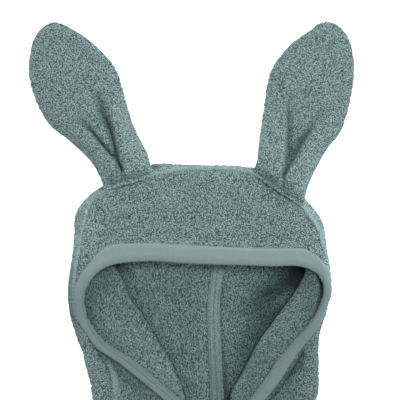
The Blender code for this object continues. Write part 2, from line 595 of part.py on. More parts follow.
def ear_grids(outline, grooves):
    """The lower and the upper side of an ear, in the middle of their cloth."""
    edges = named(EAR_COLUMNS, through(outline, EAR_ROWS))
    left = np.column_stack((edges["left_x"], edges["left_y"]))
    right = np.column_stack((edges["right_x"], edges["right_y"]))
    even = np.linspace(0.0, 1.0, EAR_STRIPS + 1)
    across = 0.25 * (1.0 - np.cos(even * math.pi)) + 0.5 * even
    base = left[0] + (right[0] - left[0]) * across[:, None]
    lower, upper = [], []
    for row in range(EAR_ROWS):
        share = row / (EAR_ROWS - 1)
        plan = left[row] + (right[row] - left[row]) * across[:, None]
        height = drape_height(np.hypot(*(plan - base).T))
        lower.append(np.column_stack((plan, height)))
        dome = 4.0 * across * (1.0 - across)
        swell = EAR_PUFF * dome**0.5 * min(1.0, 4.0 * (1.0 - share) + 0.2)
        hump = EAR_HUMP * dome * float(smooth(share / 0.08) * (1.0 - smooth((share - 0.3) / 0.5)))
        rise_up = np.maximum(swell + hump - groove_depth(grooves, share, across) * dome, 0.0)
        upper.append(np.column_stack((plan, height + EAR_CLOTH + GAP + rise_up)))
    return np.array(lower), np.array(upper)


def build_ear(side, outline, grooves, collection, terry):
    lower, upper = ear_grids(outline, grooves)
    sheet("ear_" + side + "_back", lower, EAR_CLOTH, terry, collection)
    sheet("ear_" + side + "_front", upper, EAR_CLOTH, terry, collection)


def build_tape(collection, smooth_cloth):
    """The tape over the centre-back seam, from under the crown to the neck."""
    z = BED + CLOTH / 2 + GAP + TAPE / 2
    rows = []
    for y in np.linspace(TAPE_TOP, TAPE_END, TAPE_ROWS):
        rows.append([(CENTRE_X + x, y, z) for x in (-TAPE_HALF, 0.0, TAPE_HALF)])
    sheet("seam_tape", rows, TAPE, smooth_cloth, collection)


def build_binding(band, left, right, collection, smooth_cloth):
    """One strip: up the left front, round the hood's mouth and down the right front."""
    up = wrap_edge(left, 4)[:0:-1]
    mouth = wrap_edge(band, 4)
    down = wrap_edge(right, 4)[1:]
    sheet("binding", np.concatenate((up, mouth, down)), BINDING, smooth_cloth, collection)


def top_height(x, y):
    """Middle of the upper front at a place."""
    if x > RIGHT_EDGE_X:
        return float(right_height(np.array(x), np.array(y)))
    return float(left_height(np.array(x), np.array(y)))


def build_belt(collection, terry):
    """The belt round the waist, its knot and its two hanging ends."""
    turn = float(side_line(np.array(BELT_Y))) + BELT_TURN
    level = top_height(turn, BELT_Y) + BELT_OVER
    path = [(x, BELT / 2) for x in np.linspace(-turn, turn, 9)]
    path.append((turn + BELT_ROUND, (BELT / 2 + level) / 2))
    path.append((turn, level))
    path += [(x, top_height(x, BELT_Y) + BELT_OVER + extra) for x, extra in BELT_OVER_RIGHT]
    bound = top_height(0.0, BELT_Y) + BELT_OVER + BINDING + GAP + BELT_AIR
    path += [(RIGHT_EDGE_X + along, bound) for along in BINDING_UNDER_BELT]
    path += [(x, top_height(x, BELT_Y) + BELT_OVER + extra) for x, extra in BELT_OVER_LEFT]
    path.append((-turn, level))
    path.append((-turn - BELT_ROUND, (BELT / 2 + level) / 2))
    rows = []
    for y in np.linspace(BELT_Y - BELT_WIDTH / 2, BELT_Y + BELT_WIDTH / 2, 3):
        rows.append([(x, y, z) for x, z in path])
    sheet("belt_waist", rows, BELT, terry, collection, closed=True)

    knot_z = top_height(KNOT_X, BELT_Y) + BELT_OVER + BELT_AIR + BELT / 2 + GAP
    bpy.ops.mesh.primitive_cube_add(size=1.0)
    knot = bpy.context.object
    knot.name = "belt_knot"
    knot.data.name = "belt_knot"
    knot.data.transform(scaling(KNOT_SIZE))
    knot.location = (KNOT_X * MM, (BELT_Y + NECK_Y) * MM, (knot_z + KNOT_SIZE[2] / 2) * MM)
    knot.data.materials.append(terry)
    for old in list(knot.users_collection):
        old.objects.unlink(knot)
    collection.objects.link(knot)
    rounding = knot.modifiers.new("Rounding", "BEVEL")
    rounding.width = KNOT_SIZE[2] * KNOT_ROUND * MM
    rounding.segments = 3

    reach = BELT_Y - BELT_WIDTH / 2 - BELT_SPARE
    low = np.array([y for y in body_rows() if HEM_Y < y <= reach])
    for side, sign in (("left", -1), ("right", 1)):
        rows = []
        for y in low:
            share = (reach - y) / (reach - low[-1])
            x = KNOT_X + sign * (TAIL_SPREAD + TAIL_DRIFT * share)
            rows.append([(x + w, y, top_height(x + w, y) + BELT_OVER)
                         for w in (-TAIL_HALF, 0.0, TAIL_HALF)])
        sheet("belt_tail_" + side, rows, BELT, terry, collection)


def scaling(size):
    matrix = np.diag((size[0] * MM, size[1] * MM, size[2] * MM, 1.0))
    return Matrix(matrix.tolist())


def build_loop(name, sign, collection, terry):
    """A belt loop: a narrow strip over the belt, sewn down at both ends."""
    x = sign * (float(side_line(np.array(BELT_Y))) - LOOP_IN)
    rows = []
    for away, hop in LOOP_STEPS:
        y = BELT_Y + away
        z = top_height(x, y) + CLOTH / 2 + 2 * GAP + LOOP / 2 + hop * (BELT + GAP)
        rows.append([(x + w, y, z) for w in (-LOOP_WIDTH / 2, LOOP_WIDTH / 2)])
    sheet(name, rows, LOOP, terry, collection)


def main():
    clear_scene()
    collection = new_collection("child_bathrobe")
    terry = cloth_material("terry", TERRY_COLOUR, 0.95)
    smooth_cloth = cloth_material("binding_cloth", BINDING_COLOUR, 0.8)
    band = build_hood(collection, terry)
    build_ear("left", LEFT_EAR, LEFT_GROOVES, collection, terry)
    build_ear("right", RIGHT_EAR, RIGHT_GROOVES, collection, terry)
    build_tape(collection, smooth_cloth)
    left, right = build_body(collection, terry)
    build_binding(band, left, right, collection, smooth_cloth)
    for side, sign in (("left", -1), ("right", 1)):
        build_sleeve("sleeve_" + side, sign, collection, terry)
        build_loop("belt_loop_" + side, sign, collection, terry)
    build_belt(collection, terry)


main()
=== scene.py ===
import itertools
import math

import bpy
import mathutils
import numpy as np
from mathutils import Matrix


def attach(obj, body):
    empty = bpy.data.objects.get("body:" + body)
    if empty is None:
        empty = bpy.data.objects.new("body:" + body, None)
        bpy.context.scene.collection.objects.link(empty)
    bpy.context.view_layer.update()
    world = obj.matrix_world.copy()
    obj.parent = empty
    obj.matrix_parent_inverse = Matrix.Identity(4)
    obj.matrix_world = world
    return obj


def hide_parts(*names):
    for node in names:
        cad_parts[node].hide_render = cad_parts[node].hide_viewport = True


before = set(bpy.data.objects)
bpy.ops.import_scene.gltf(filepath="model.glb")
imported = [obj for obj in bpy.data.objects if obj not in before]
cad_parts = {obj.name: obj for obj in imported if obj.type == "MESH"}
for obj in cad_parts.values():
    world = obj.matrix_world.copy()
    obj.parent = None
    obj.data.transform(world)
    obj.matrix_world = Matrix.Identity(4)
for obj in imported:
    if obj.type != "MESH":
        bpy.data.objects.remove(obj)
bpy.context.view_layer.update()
print("frame loaded:", len(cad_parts), "nodes")

mm = 0.001

# Millimetres from the middle of the neck seam, +x right, +y towards the ears, +z up
lay = {
    "neckY": 80.7,          # the neck seam, from the origin
    "centreX": 11.0,        # centre-back seam
    "bed": 1.1,             # middle of the lowest layer
    "layer": 3.2,           # one layer of cloth to the next
    "seamGap": 0.3,
}


# 3 t^2 - 2 t^3, held at 0 and 1 outside
def smooth(t):
    t = np.clip(t, 0.0, 1.0)
    return t * t * (3.0 - 2.0 * t)


# Bell curve exp(-(x / width)^2)
def bell(x, width):
    return np.exp(-(x / width) ** 2)


# height x bell, round a place and of a width
def mound(x, form):
    height, place, width = form
    return height * bell(x - place, width)


# Rows that stand at the stops, read at the places in between: straight from row to row, or by a
# cubic Hermite whose slope at each row is the three-point one of its neighbours
def through(rows, stops, places, straight=False):
    rows = np.asarray(rows, float)
    slopes = np.gradient(rows, stops, axis=0)
    low = np.clip(np.searchsorted(stops, places, side="right") - 1, 0, len(stops) - 2)
    span = stops[low + 1] - stops[low]
    shape = (-1,) + (1,) * (rows.ndim - 1)
    t = ((places - stops[low]) / span).reshape(shape)
    span = span.reshape(shape)
    if straight:
        return rows[low] + (rows[low + 1] - rows[low]) * t
    return ((2 * t**3 - 3 * t**2 + 1) * rows[low] + (t**3 - 2 * t**2 + t) * span * slopes[low]
            + (3 * t**2 - 2 * t**3) * rows[low + 1] + (t**3 - t**2) * span * slopes[low + 1])


# Distance walked along an axis of a grid, averaged over the other axis
def walked(grid, axis):
    steps = np.linalg.norm(np.diff(grid[..., :3], axis=axis), axis=-1).mean(axis=1 - axis)
    return np.concatenate(([0.0], np.cumsum(np.maximum(steps, 0.01))))


# The same surface on an even grid with about these spacings along its two axes
def refine(grid, spacings, straight=False):
    for axis in (0, 1):
        stops = walked(grid, axis)
        count = max(3, int(round(stops[-1] / spacings[axis])) + 1)
        turned = through(np.moveaxis(grid, axis, 0), stops, np.linspace(0.0, stops[-1], count), straight)
        grid = np.moveaxis(turned, 0, axis)
    return grid


# Unit normals of a grid: the cross product of its two directions
def normals(grid, closed=False):
    down = np.gradient(grid, axis=0)
    if closed:
        across = np.roll(grid, -1, axis=1) - np.roll(grid, 1, axis=1)
    else:
        across = np.gradient(grid, axis=1)
    out = np.cross(down, across)
    return out / np.maximum(np.linalg.norm(out, axis=-1, keepdims=True), 1e-9)


# A grid with three channels more: how much of its pile stands up, its region and its painted shade
def channels(grid, quiet=1.0, region=0.0, shade=1.0):
    extra = [np.broadcast_to(value, grid.shape[:2])[..., None] for value in (quiet, region, shade)]
    return np.concatenate([grid] + extra, axis=-1)


# Places and directions of the loops, drawn once for cells that repeat. spread is the share of its
# cell that a loop's place may take up, lean how far the loop tips out of the cloth
loops = {"cells": 56, "seed": 11, "spread": 0.85, "lean": 1.2}
lattice = np.random.default_rng(loops["seed"]).random((loops["cells"],) * 3 + (5,))

# A cloth's thickness, how high its loops stand on its faces and out at its rim, and the loops'
# spacing, radius and half length
terryCloth = {"thick": 1.4, "loop": 0.75, "rim": 2.3, "pitch": 2.3, "radius": 1.15, "rod": 0.85}


def smoothCloth(thick):
    return {"thick": thick, "loop": 0.0, "rim": 0.0}


plainCloth = smoothCloth(2.0)
beltCloth = smoothCloth(2.2)
knotCloth = smoothCloth(1.2)

# For each region of a piece: the way the rows of loops run in degrees, how far the loops turn from
# it, and how much longer than wide they stand apart
anyWay = (0.0, 1.1, 1.0)
weaves = {
    "band": (anyWay, (88.0, 0.5, 4.0)),
    "backLeft": ((98.0, 0.6, 2.0), (57.0, 0.5, 3.2), anyWay),
    "backRight": ((98.0, 0.8, 1.6), (140.0, 0.5, 2.6), anyWay),
    "ears": (anyWay,),
}


# Points turned so that x runs along the rows of loops, and drawn together that way and apart
# across it, each by the square root of the stretch
def alongWeave(points, weave):
    turn, drawn = math.radians(weave[0]), math.sqrt(weave[2])
    along = points[:, 0] * math.cos(turn) + points[:, 1] * math.sin(turn)
    over = points[:, 1] * math.cos(turn) - points[:, 0] * math.sin(turn)
    return np.stack((along / drawn, over * drawn, points[:, 2]), axis=-1)


# Terry loops: space is cut in cells, and each holds a short rod at a place and in a direction
# drawn for it. The height is sqrt(1 - (d / radius)^2) at the distance d from the nearest rod
def loopHeight(points, cloth, weave):
    pitch, half = cloth["pitch"], cloth["rod"] / cloth["pitch"]
    local = alongWeave(points, weave) / pitch
    cell = np.floor(local).astype(int)
    best = np.full(len(points), 9.0)
    for step in itertools.product((-1, 0, 1), repeat=3):
        other = cell + np.array(step)
        drawn = lattice[tuple((other % loops["cells"]).T)]
        centre = other + 0.5 + loops["spread"] * (drawn[:, :3] - 0.5)
        angle = (drawn[:, 3] - 0.5) * math.pi * weave[1]
        lean = (drawn[:, 4] - 0.5) * loops["lean"]
        rod = np.stack((np.cos(angle) * np.cos(lean), np.sin(angle) * np.cos(lean), np.sin(lean)), axis=-1)
        away = local - centre
        reach = np.clip((away * rod).sum(axis=-1), -half, half)
        best = np.minimum(best, np.linalg.norm(away - reach[:, None] * rod, axis=-1))
    return np.sqrt(np.clip(1.0 - (best * pitch / cloth["radius"]) ** 2, 0.0, 1.0))


# Corner numbers of the squares of a grid, row by row
def squares(rows, columns, closed=False):
    index = np.arange(rows * columns).reshape(rows, columns)
    if closed:
        index = np.concatenate((index, index[:, :1]), axis=1)
    corners = (index[:-1, :-1], index[:-1, 1:], index[1:, 1:], index[1:, :-1])
    return np.stack(corners, axis=-1).reshape(-1, 4)


# A mesh object from points in millimetres from the neck seam. Its faces are turned round if the
# volume they enclose, the sum of a . (b x c) / 6, comes out negative
def meshPiece(name, points, faces, marks, uv):
    world = points * mm + np.array((0.0, lay["neckY"] * mm, 0.0))
    a, b, c, d = (world[faces[:, k]] for k in range(4))
    volume = (a * np.cross(b, c)).sum() + (a * np.cross(c, d)).sum()
    if volume < 0.0:
        faces = faces[:, ::-1]
    mesh = bpy.data.meshes.new(name)
    mesh.from_pydata(world.tolist(), [], faces.tolist())
    mesh.shade_smooth()
    for label, values in marks.items():
        if values.ndim == 1:
            data = mesh.attributes.new(label, "FLOAT", "POINT").data
            data.foreach_set("value", values.astype(np.float32))
        else:
            data = mesh.attributes.new(label, "FLOAT_VECTOR", "POINT").data
            data.foreach_set("vector", (values * mm).astype(np.float32).ravel())
    corner = np.zeros(len(mesh.loops), dtype=np.int32)
    mesh.loops.foreach_get("vertex_index", corner)
    layer = mesh.uv_layers.new(name="cloth")
    layer.data.foreach_set("uv", (uv[corner] * mm).astype(np.float32).ravel())
    piece = bpy.data.objects.new(name, mesh)
    bpy.context.scene.collection.objects.link(piece)
    return piece


wall = {
    "flat": 0.55,           # height that the pile counts as where there are no loops
    "underShift": 31.7,     # the loops of the lower face come from this far off in the lattice
    "rimShift": 9.3,        # and those of the rim from here
    "bulge": 0.6,           # how far the rim bulges, in half thicknesses
}


# Cloth as a closed shell: both faces stand off the middle surface by half the thickness and the
# pile's height, and their borders meet in a row of points that stands out sideways by as much, so
# that loops show on the outline. Nothing goes below the table
def shell(name, grid, cloth, weave=(anyWay,), closed=False):
    rows, columns = grid.shape[:2]
    count = rows * columns
    flat = grid[..., :3].reshape(-1, 3)
    out = normals(grid[..., :3], closed).reshape(-1, 3)
    quiet, region, shade = grid[..., 3:].reshape(-1, 3).T
    pile = np.full(count, wall["flat"])
    under = pile.copy()
    grain = flat.copy()
    for number, way in enumerate(weave):
        here = region.round() == number
        grain[here] = alongWeave(flat[here], way)
        if cloth["loop"] > 0.0:
            pile[here] = loopHeight(flat[here], cloth, way)
            under[here] = loopHeight(flat[here] + np.array((0.0, 0.0, wall["underShift"])), cloth, way)
    half = cloth["thick"] / 2
    up = flat + out * (half + cloth["loop"] * quiet * pile)[:, None]
    low = flat - out * (half + cloth["loop"] * quiet * under)[:, None]
    faces = squares(rows, columns, closed)
    index = np.arange(count).reshape(rows, columns)
    if closed:
        rings = (index[0], index[-1][::-1])
    else:
        rings = (np.concatenate((index[0, :-1], index[:-1, -1], index[-1, :0:-1], index[:0:-1, 0])),)
    uv = np.stack(np.meshgrid(walked(grid, 1), walked(grid, 0)), axis=-1).reshape(-1, 2)
    points, order, sides = [up, low], [np.arange(count)] * 2, [faces, faces[:, ::-1] + count]
    start = 2 * count
    for ring in rings:
        border = flat[ring]
        away = np.cross(np.roll(border, -1, axis=0) - np.roll(border, 1, axis=0), out[ring])
        away = away / np.maximum(np.linalg.norm(away, axis=-1, keepdims=True), 1e-9)
        away = away * np.sign((away * (border - flat.mean(axis=0))).sum())
        height = 0.0 * ring
        if cloth["loop"] > 0.0:
            height = loopHeight(border + wall["rimShift"], cloth, weave[0])
        points.append(border + away * (wall["bulge"] * half + cloth["rim"] * height)[:, None])
        order.append(ring)
        middle = start + np.arange(len(ring))
        start += len(ring)
        for a, b in ((ring, middle), (middle, ring + count)):
            sides.append(np.stack((a, b, np.roll(b, -1), np.roll(a, -1)), axis=-1))
    points, order = np.concatenate(points), np.concatenate(order)
    points[:, 2] = np.maximum(points[:, 2], 0.0)
    tone = np.concatenate((pile, under, pile[order[2 * count:]]))
    calm = 1.0 - np.minimum(quiet[order], 1.0)
    marks = {"tone": tone, "shade": shade[order], "grain": grain[order], "calm": calm}
    return meshPiece(name, points, np.concatenate(sides), marks, uv[order])


# A shader node group with its start and end, and its sockets by name, kind and value
def newGroup(name, inputs, outputs):
    group = bpy.data.node_groups.new(name, "ShaderNodeTree")
    for label, kind, value in inputs:
        socket = group.interface.new_socket(label, in_out="INPUT", socket_type=kind)
        if value is not None:
            socket.default_value = value
    for label, kind in outputs:
        group.interface.new_socket(label, in_out="OUTPUT", socket_type=kind)
    return group, group.nodes.new("NodeGroupInput"), group.nodes.new("NodeGroupOutput")


# A node with its settings, and with values for its inputs
def addNode(tree, kind, values=None, **settings):
    node = tree.nodes.new(kind)
    for key, value in settings.items():
        setattr(node, key, value)
    for key, value in (values or {}).items():
        node.inputs[key].default_value = value
    return node


# Looped pile: light strokes where a noise passes its middle value, 1 - |2 n - 1| steepened, broken
# up by the heads of a Voronoi pattern, with fine fibres on top. Heads is 0 between the loops and 1
# on top of them, and Normal bumps it
def terryGroup():
    inputs = (("Vector", "NodeSocketVector", None), ("Strokes per metre", "NodeSocketFloat", 230.0),
              ("Loops per metre", "NodeSocketFloat", 400.0), ("Depth", "NodeSocketFloat", 0.5))
    outputs = (("Heads", "NodeSocketFloat"), ("Normal", "NodeSocketVector"))
    group, start, end = newGroup("terryPile", inputs, outputs)
    link = group.links.new
    noise = addNode(group, "ShaderNodeTexNoise", {"Detail": 1.0, "Roughness": 0.4})
    centred = addNode(group, "ShaderNodeMath", {1: 0.5}, operation="SUBTRACT")
    size = addNode(group, "ShaderNodeMath", operation="ABSOLUTE")
    strokes = addNode(group, "ShaderNodeMapRange", {"From Min": 0.12, "From Max": 0.01})
    cells = addNode(group, "ShaderNodeTexVoronoi", {"Randomness": 1.0}, feature="F1")
    heads = addNode(group, "ShaderNodeMapRange", {"From Min": 0.75, "From Max": 0.15})
    both = addNode(group, "ShaderNodeMix", {"Factor": 0.62}, data_type="FLOAT")
    fibre = addNode(group, "ShaderNodeTexNoise", {"Scale": 2400.0, "Detail": 2.0, "Roughness": 0.6})
    rough = addNode(group, "ShaderNodeMath", {1: 0.25}, operation="MULTIPLY_ADD")
    bump = addNode(group, "ShaderNodeBump", {"Distance": 0.0014})
    for texture in (noise, cells, fibre):
        link(start.outputs["Vector"], texture.inputs["Vector"])
    link(start.outputs["Strokes per metre"], noise.inputs["Scale"])
    link(start.outputs["Loops per metre"], cells.inputs["Scale"])
    link(noise.outputs["Fac"], centred.inputs[0])
    link(centred.outputs[0], size.inputs[0])
    link(size.outputs[0], strokes.inputs["Value"])
    link(cells.outputs["Distance"], heads.inputs["Value"])
    link(strokes.outputs["Result"], both.inputs[2])
    link(heads.outputs["Result"], both.inputs[3])
    link(fibre.outputs["Fac"], rough.inputs[0])
    link(both.outputs[0], rough.inputs[2])
    link(rough.outputs[0], bump.inputs["Height"])
    link(start.outputs["Depth"], bump.inputs["Strength"])
    link(both.outputs[0], end.inputs["Heads"])
    link(bump.outputs["Normal"], end.inputs["Normal"])
    return group


# Unevenness of dyed cotton: two soft noises around 1, one for patches and one for finer ones
def dyeGroup():
    inputs = (("Vector", "NodeSocketVector", None), ("Amount", "NodeSocketFloat", 0.1))
    group, start, end = newGroup("unevenDye", inputs, (("Factor", "NodeSocketFloat"),))
    link = group.links.new
    patches = addNode(group, "ShaderNodeTexNoise", {"Scale": 28.0, "Detail": 3.0, "Roughness": 0.55})
    fine = addNode(group, "ShaderNodeTexNoise", {"Scale": 170.0, "Detail": 2.0})
    both = addNode(group, "ShaderNodeMath", operation="ADD")
    centred = addNode(group, "ShaderNodeMath", {1: 1.0}, operation="SUBTRACT")
    around = addNode(group, "ShaderNodeMath", {2: 1.0}, operation="MULTIPLY_ADD")
    for noise in (patches, fine):
        link(start.outputs["Vector"], noise.inputs["Vector"])
    link(patches.outputs["Fac"], both.inputs[0])
    link(fine.outputs["Fac"], both.inputs[1])
    link(both.outputs[0], centred.inputs[0])
    link(centred.outputs[0], around.inputs[0])
    link(start.outputs["Amount"], around.inputs[1])
    link(around.outputs[0], end.inputs["Factor"])
    return group


terryPile = terryGroup()
unevenDye = dyeGroup()


def startMaterial(name, preview):
    material = bpy.data.materials.new(name)
    material.use_nodes = True
    material.diffuse_color = preview
    tree = material.node_tree
    return material, tree, tree.nodes["Principled BSDF"], addNode(tree, "ShaderNodeTexCoord")


# Terry: painted shade between the loops and painted light on them, by the pile's real height and
# the bump's heads. The more painted shade it carries, the nearer its colour comes to the one in shade
def terryMaterial(name, look):
    material, tree, shader, place = startMaterial(name, look["light"])
    link = tree.links.new
    pile = addNode(tree, "ShaderNodeGroup", node_tree=terryPile)
    pile.inputs["Strokes per metre"].default_value = look["strokes"]
    pile.inputs["Loops per metre"].default_value = look["loops"]
    pile.inputs["Depth"].default_value = look["depth"]
    dye = addNode(tree, "ShaderNodeGroup", node_tree=unevenDye)
    dye.inputs["Amount"].default_value = look["uneven"]
    grain = addNode(tree, "ShaderNodeAttribute", attribute_name="grain")
    height = addNode(tree, "ShaderNodeAttribute", attribute_name="tone")
    both = addNode(tree, "ShaderNodeMix", {"Factor": look["bumpShare"]}, data_type="FLOAT")
    calm = addNode(tree, "ShaderNodeAttribute", attribute_name="calm")
    evened = addNode(tree, "ShaderNodeMix", data_type="FLOAT")
    evened.inputs[3].default_value = look["evened"]
    steep = addNode(tree, "ShaderNodeMapRange", {"From Min": look["low"], "From Max": look["high"]},
                    interpolation_type="SMOOTHSTEP")
    tone = addNode(tree, "ShaderNodeMix", data_type="RGBA")
    tone.inputs[6].default_value = look["dark"]
    tone.inputs[7].default_value = look["light"]
    # Painted shade: the shade attribute darkens the dyed colour and tints it towards inShade
    shade = addNode(tree, "ShaderNodeAttribute", attribute_name="shade")
    shaded = addNode(tree, "ShaderNodeMath", operation="MULTIPLY")
    dyedAndShaded = addNode(tree, "ShaderNodeVectorMath", operation="SCALE")
    tint = addNode(tree, "ShaderNodeMix", data_type="RGBA")
    tint.inputs[6].default_value = look["inShade"]
    tint.inputs[7].default_value = (1.0, 1.0, 1.0, 1.0)
    tinted = addNode(tree, "ShaderNodeVectorMath", operation="MULTIPLY")
    link(grain.outputs["Vector"], pile.inputs["Vector"])
    link(place.outputs["Object"], dye.inputs["Vector"])
    link(height.outputs["Fac"], both.inputs[2])
    link(pile.outputs["Heads"], both.inputs[3])
    link(calm.outputs["Fac"], evened.inputs["Factor"])
    link(both.outputs[0], evened.inputs[2])
    link(evened.outputs[0], steep.inputs["Value"])
    link(steep.outputs["Result"], tone.inputs["Factor"])
    link(dye.outputs["Factor"], shaded.inputs[0])
    link(shade.outputs["Fac"], shaded.inputs[1])
    link(tone.outputs[2], dyedAndShaded.inputs[0])
    link(shaded.outputs[0], dyedAndShaded.inputs["Scale"])
    link(shaded.outputs[0], tint.inputs["Factor"])
    link(dyedAndShaded.outputs[0], tinted.inputs[0])
    link(tint.outputs[2], tinted.inputs[1])
    link(tinted.outputs[0], shader.inputs["Base Color"])
    link(pile.outputs["Normal"], shader.inputs["Normal"])
    shader.inputs["Roughness"].default_value = 0.95
    shader.inputs["Specular IOR Level"].default_value = 0.12
    shader.inputs["Sheen Weight"].default_value = look["sheen"]
    shader.inputs["Sheen Roughness"].default_value = 0.5
    shader.inputs["Sheen Tint"].default_value = look["sheenTint"]
    return material


# Smooth jersey: fine ribs across its length, from a wave on the cloth's own map, and a soft grain.
# Its colour is darkened by the painted shade of its shade attribute
def jerseyMaterial(name, look):
    material, tree, shader, place = startMaterial(name, look["colour"])
    link = tree.links.new
    dye = addNode(tree, "ShaderNodeGroup", node_tree=unevenDye)
    dye.inputs["Amount"].default_value = look["uneven"]
    ribs = addNode(tree, "ShaderNodeTexWave", {"Scale": look["ribs"], "Distortion": 1.2, "Detail": 1.0},
                   bands_direction=look["direction"])
    grain = addNode(tree, "ShaderNodeTexNoise", {"Scale": 1500.0, "Detail": 2.0})
    height = addNode(tree, "ShaderNodeMix", data_type="FLOAT")
    height.inputs["Factor"].default_value = 0.5
    bump = addNode(tree, "ShaderNodeBump", {"Strength": look["depth"], "Distance": 0.0004})
    shade = addNode(tree, "ShaderNodeAttribute", attribute_name="shade")
    shaded = addNode(tree, "ShaderNodeMath", operation="MULTIPLY")
    limits = {"To Min": 1.0 - look["speckle"], "To Max": 1.0 + look["speckle"]}
    speckle = addNode(tree, "ShaderNodeMapRange", limits)
    shadedSpeckled = addNode(tree, "ShaderNodeMath", operation="MULTIPLY")
    dyedAndShaded = addNode(tree, "ShaderNodeVectorMath", {0: look["colour"][:3]}, operation="SCALE")
    link(place.outputs["Object"], dye.inputs["Vector"])
    link(place.outputs["UV"], ribs.inputs["Vector"])
    link(place.outputs["Object"], grain.inputs["Vector"])
    link(ribs.outputs["Fac"], height.inputs[2])
    link(grain.outputs["Fac"], height.inputs[3])
    link(height.outputs[0], bump.inputs["Height"])
    link(shade.outputs["Fac"], shaded.inputs[0])
    link(dye.outputs["Factor"], shaded.inputs[1])
    link(grain.outputs["Fac"], speckle.inputs["Value"])
    link(shaded.outputs[0], shadedSpeckled.inputs[0])
    link(speckle.outputs["Result"], shadedSpeckled.inputs[1])
    link(shadedSpeckled.outputs[0], dyedAndShaded.inputs["Scale"])
    link(dyedAndShaded.outputs[0], shader.inputs["Base Color"])
    link(bump.outputs["Normal"], shader.inputs["Normal"])
    shader.inputs["Roughness"].default_value = 0.85
    shader.inputs["Specular IOR Level"].default_value = 0.25
    shader.inputs["Sheen Weight"].default_value = look["sheen"]
    shader.inputs["Sheen Roughness"].default_value = 0.4
    return material


terry = terryMaterial("terry", {
    "dark": (0.046, 0.092, 0.097, 1.0),
    "light": (0.492, 0.668, 0.676, 1.0),
    "inShade": (0.75, 1.0, 1.0, 1.0),
    "low": 0.16,
    "high": 0.84,
    "evened": 0.52,
    "strokes": 1300.0,
    "loops": 820.0,
    "depth": 0.8,
    "uneven": 0.08,
    "bumpShare": 0.90,
    "sheen": 0.32,
    "sheenTint": (0.62, 0.82, 0.84, 1.0),
})
bindingCloth = jerseyMaterial("bindingCloth", {
    "colour": (0.230, 0.314, 0.320, 1.0),
    "uneven": 0.08,
    "speckle": 0.35,
    "ribs": 260.0,
    "direction": "Y",
    "depth": 0.5,
    "sheen": 0.25,
})
tapeCloth = jerseyMaterial("tapeCloth", {
    "colour": (0.160, 0.250, 0.246, 1.0),
    "uneven": 0.10,
    "speckle": 2.2,
    "ribs": 330.0,
    "direction": "Y",
    "depth": 0.8,
    "sheen": 0.2,
})
print("materials ready")


# Gives a piece its cloth, its place on the body and what it stands for
def dress(piece, material, slot, *nodes):
    piece.data.materials.append(material)
    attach(piece, "root")
    if nodes:
        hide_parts(*nodes)
    return piece


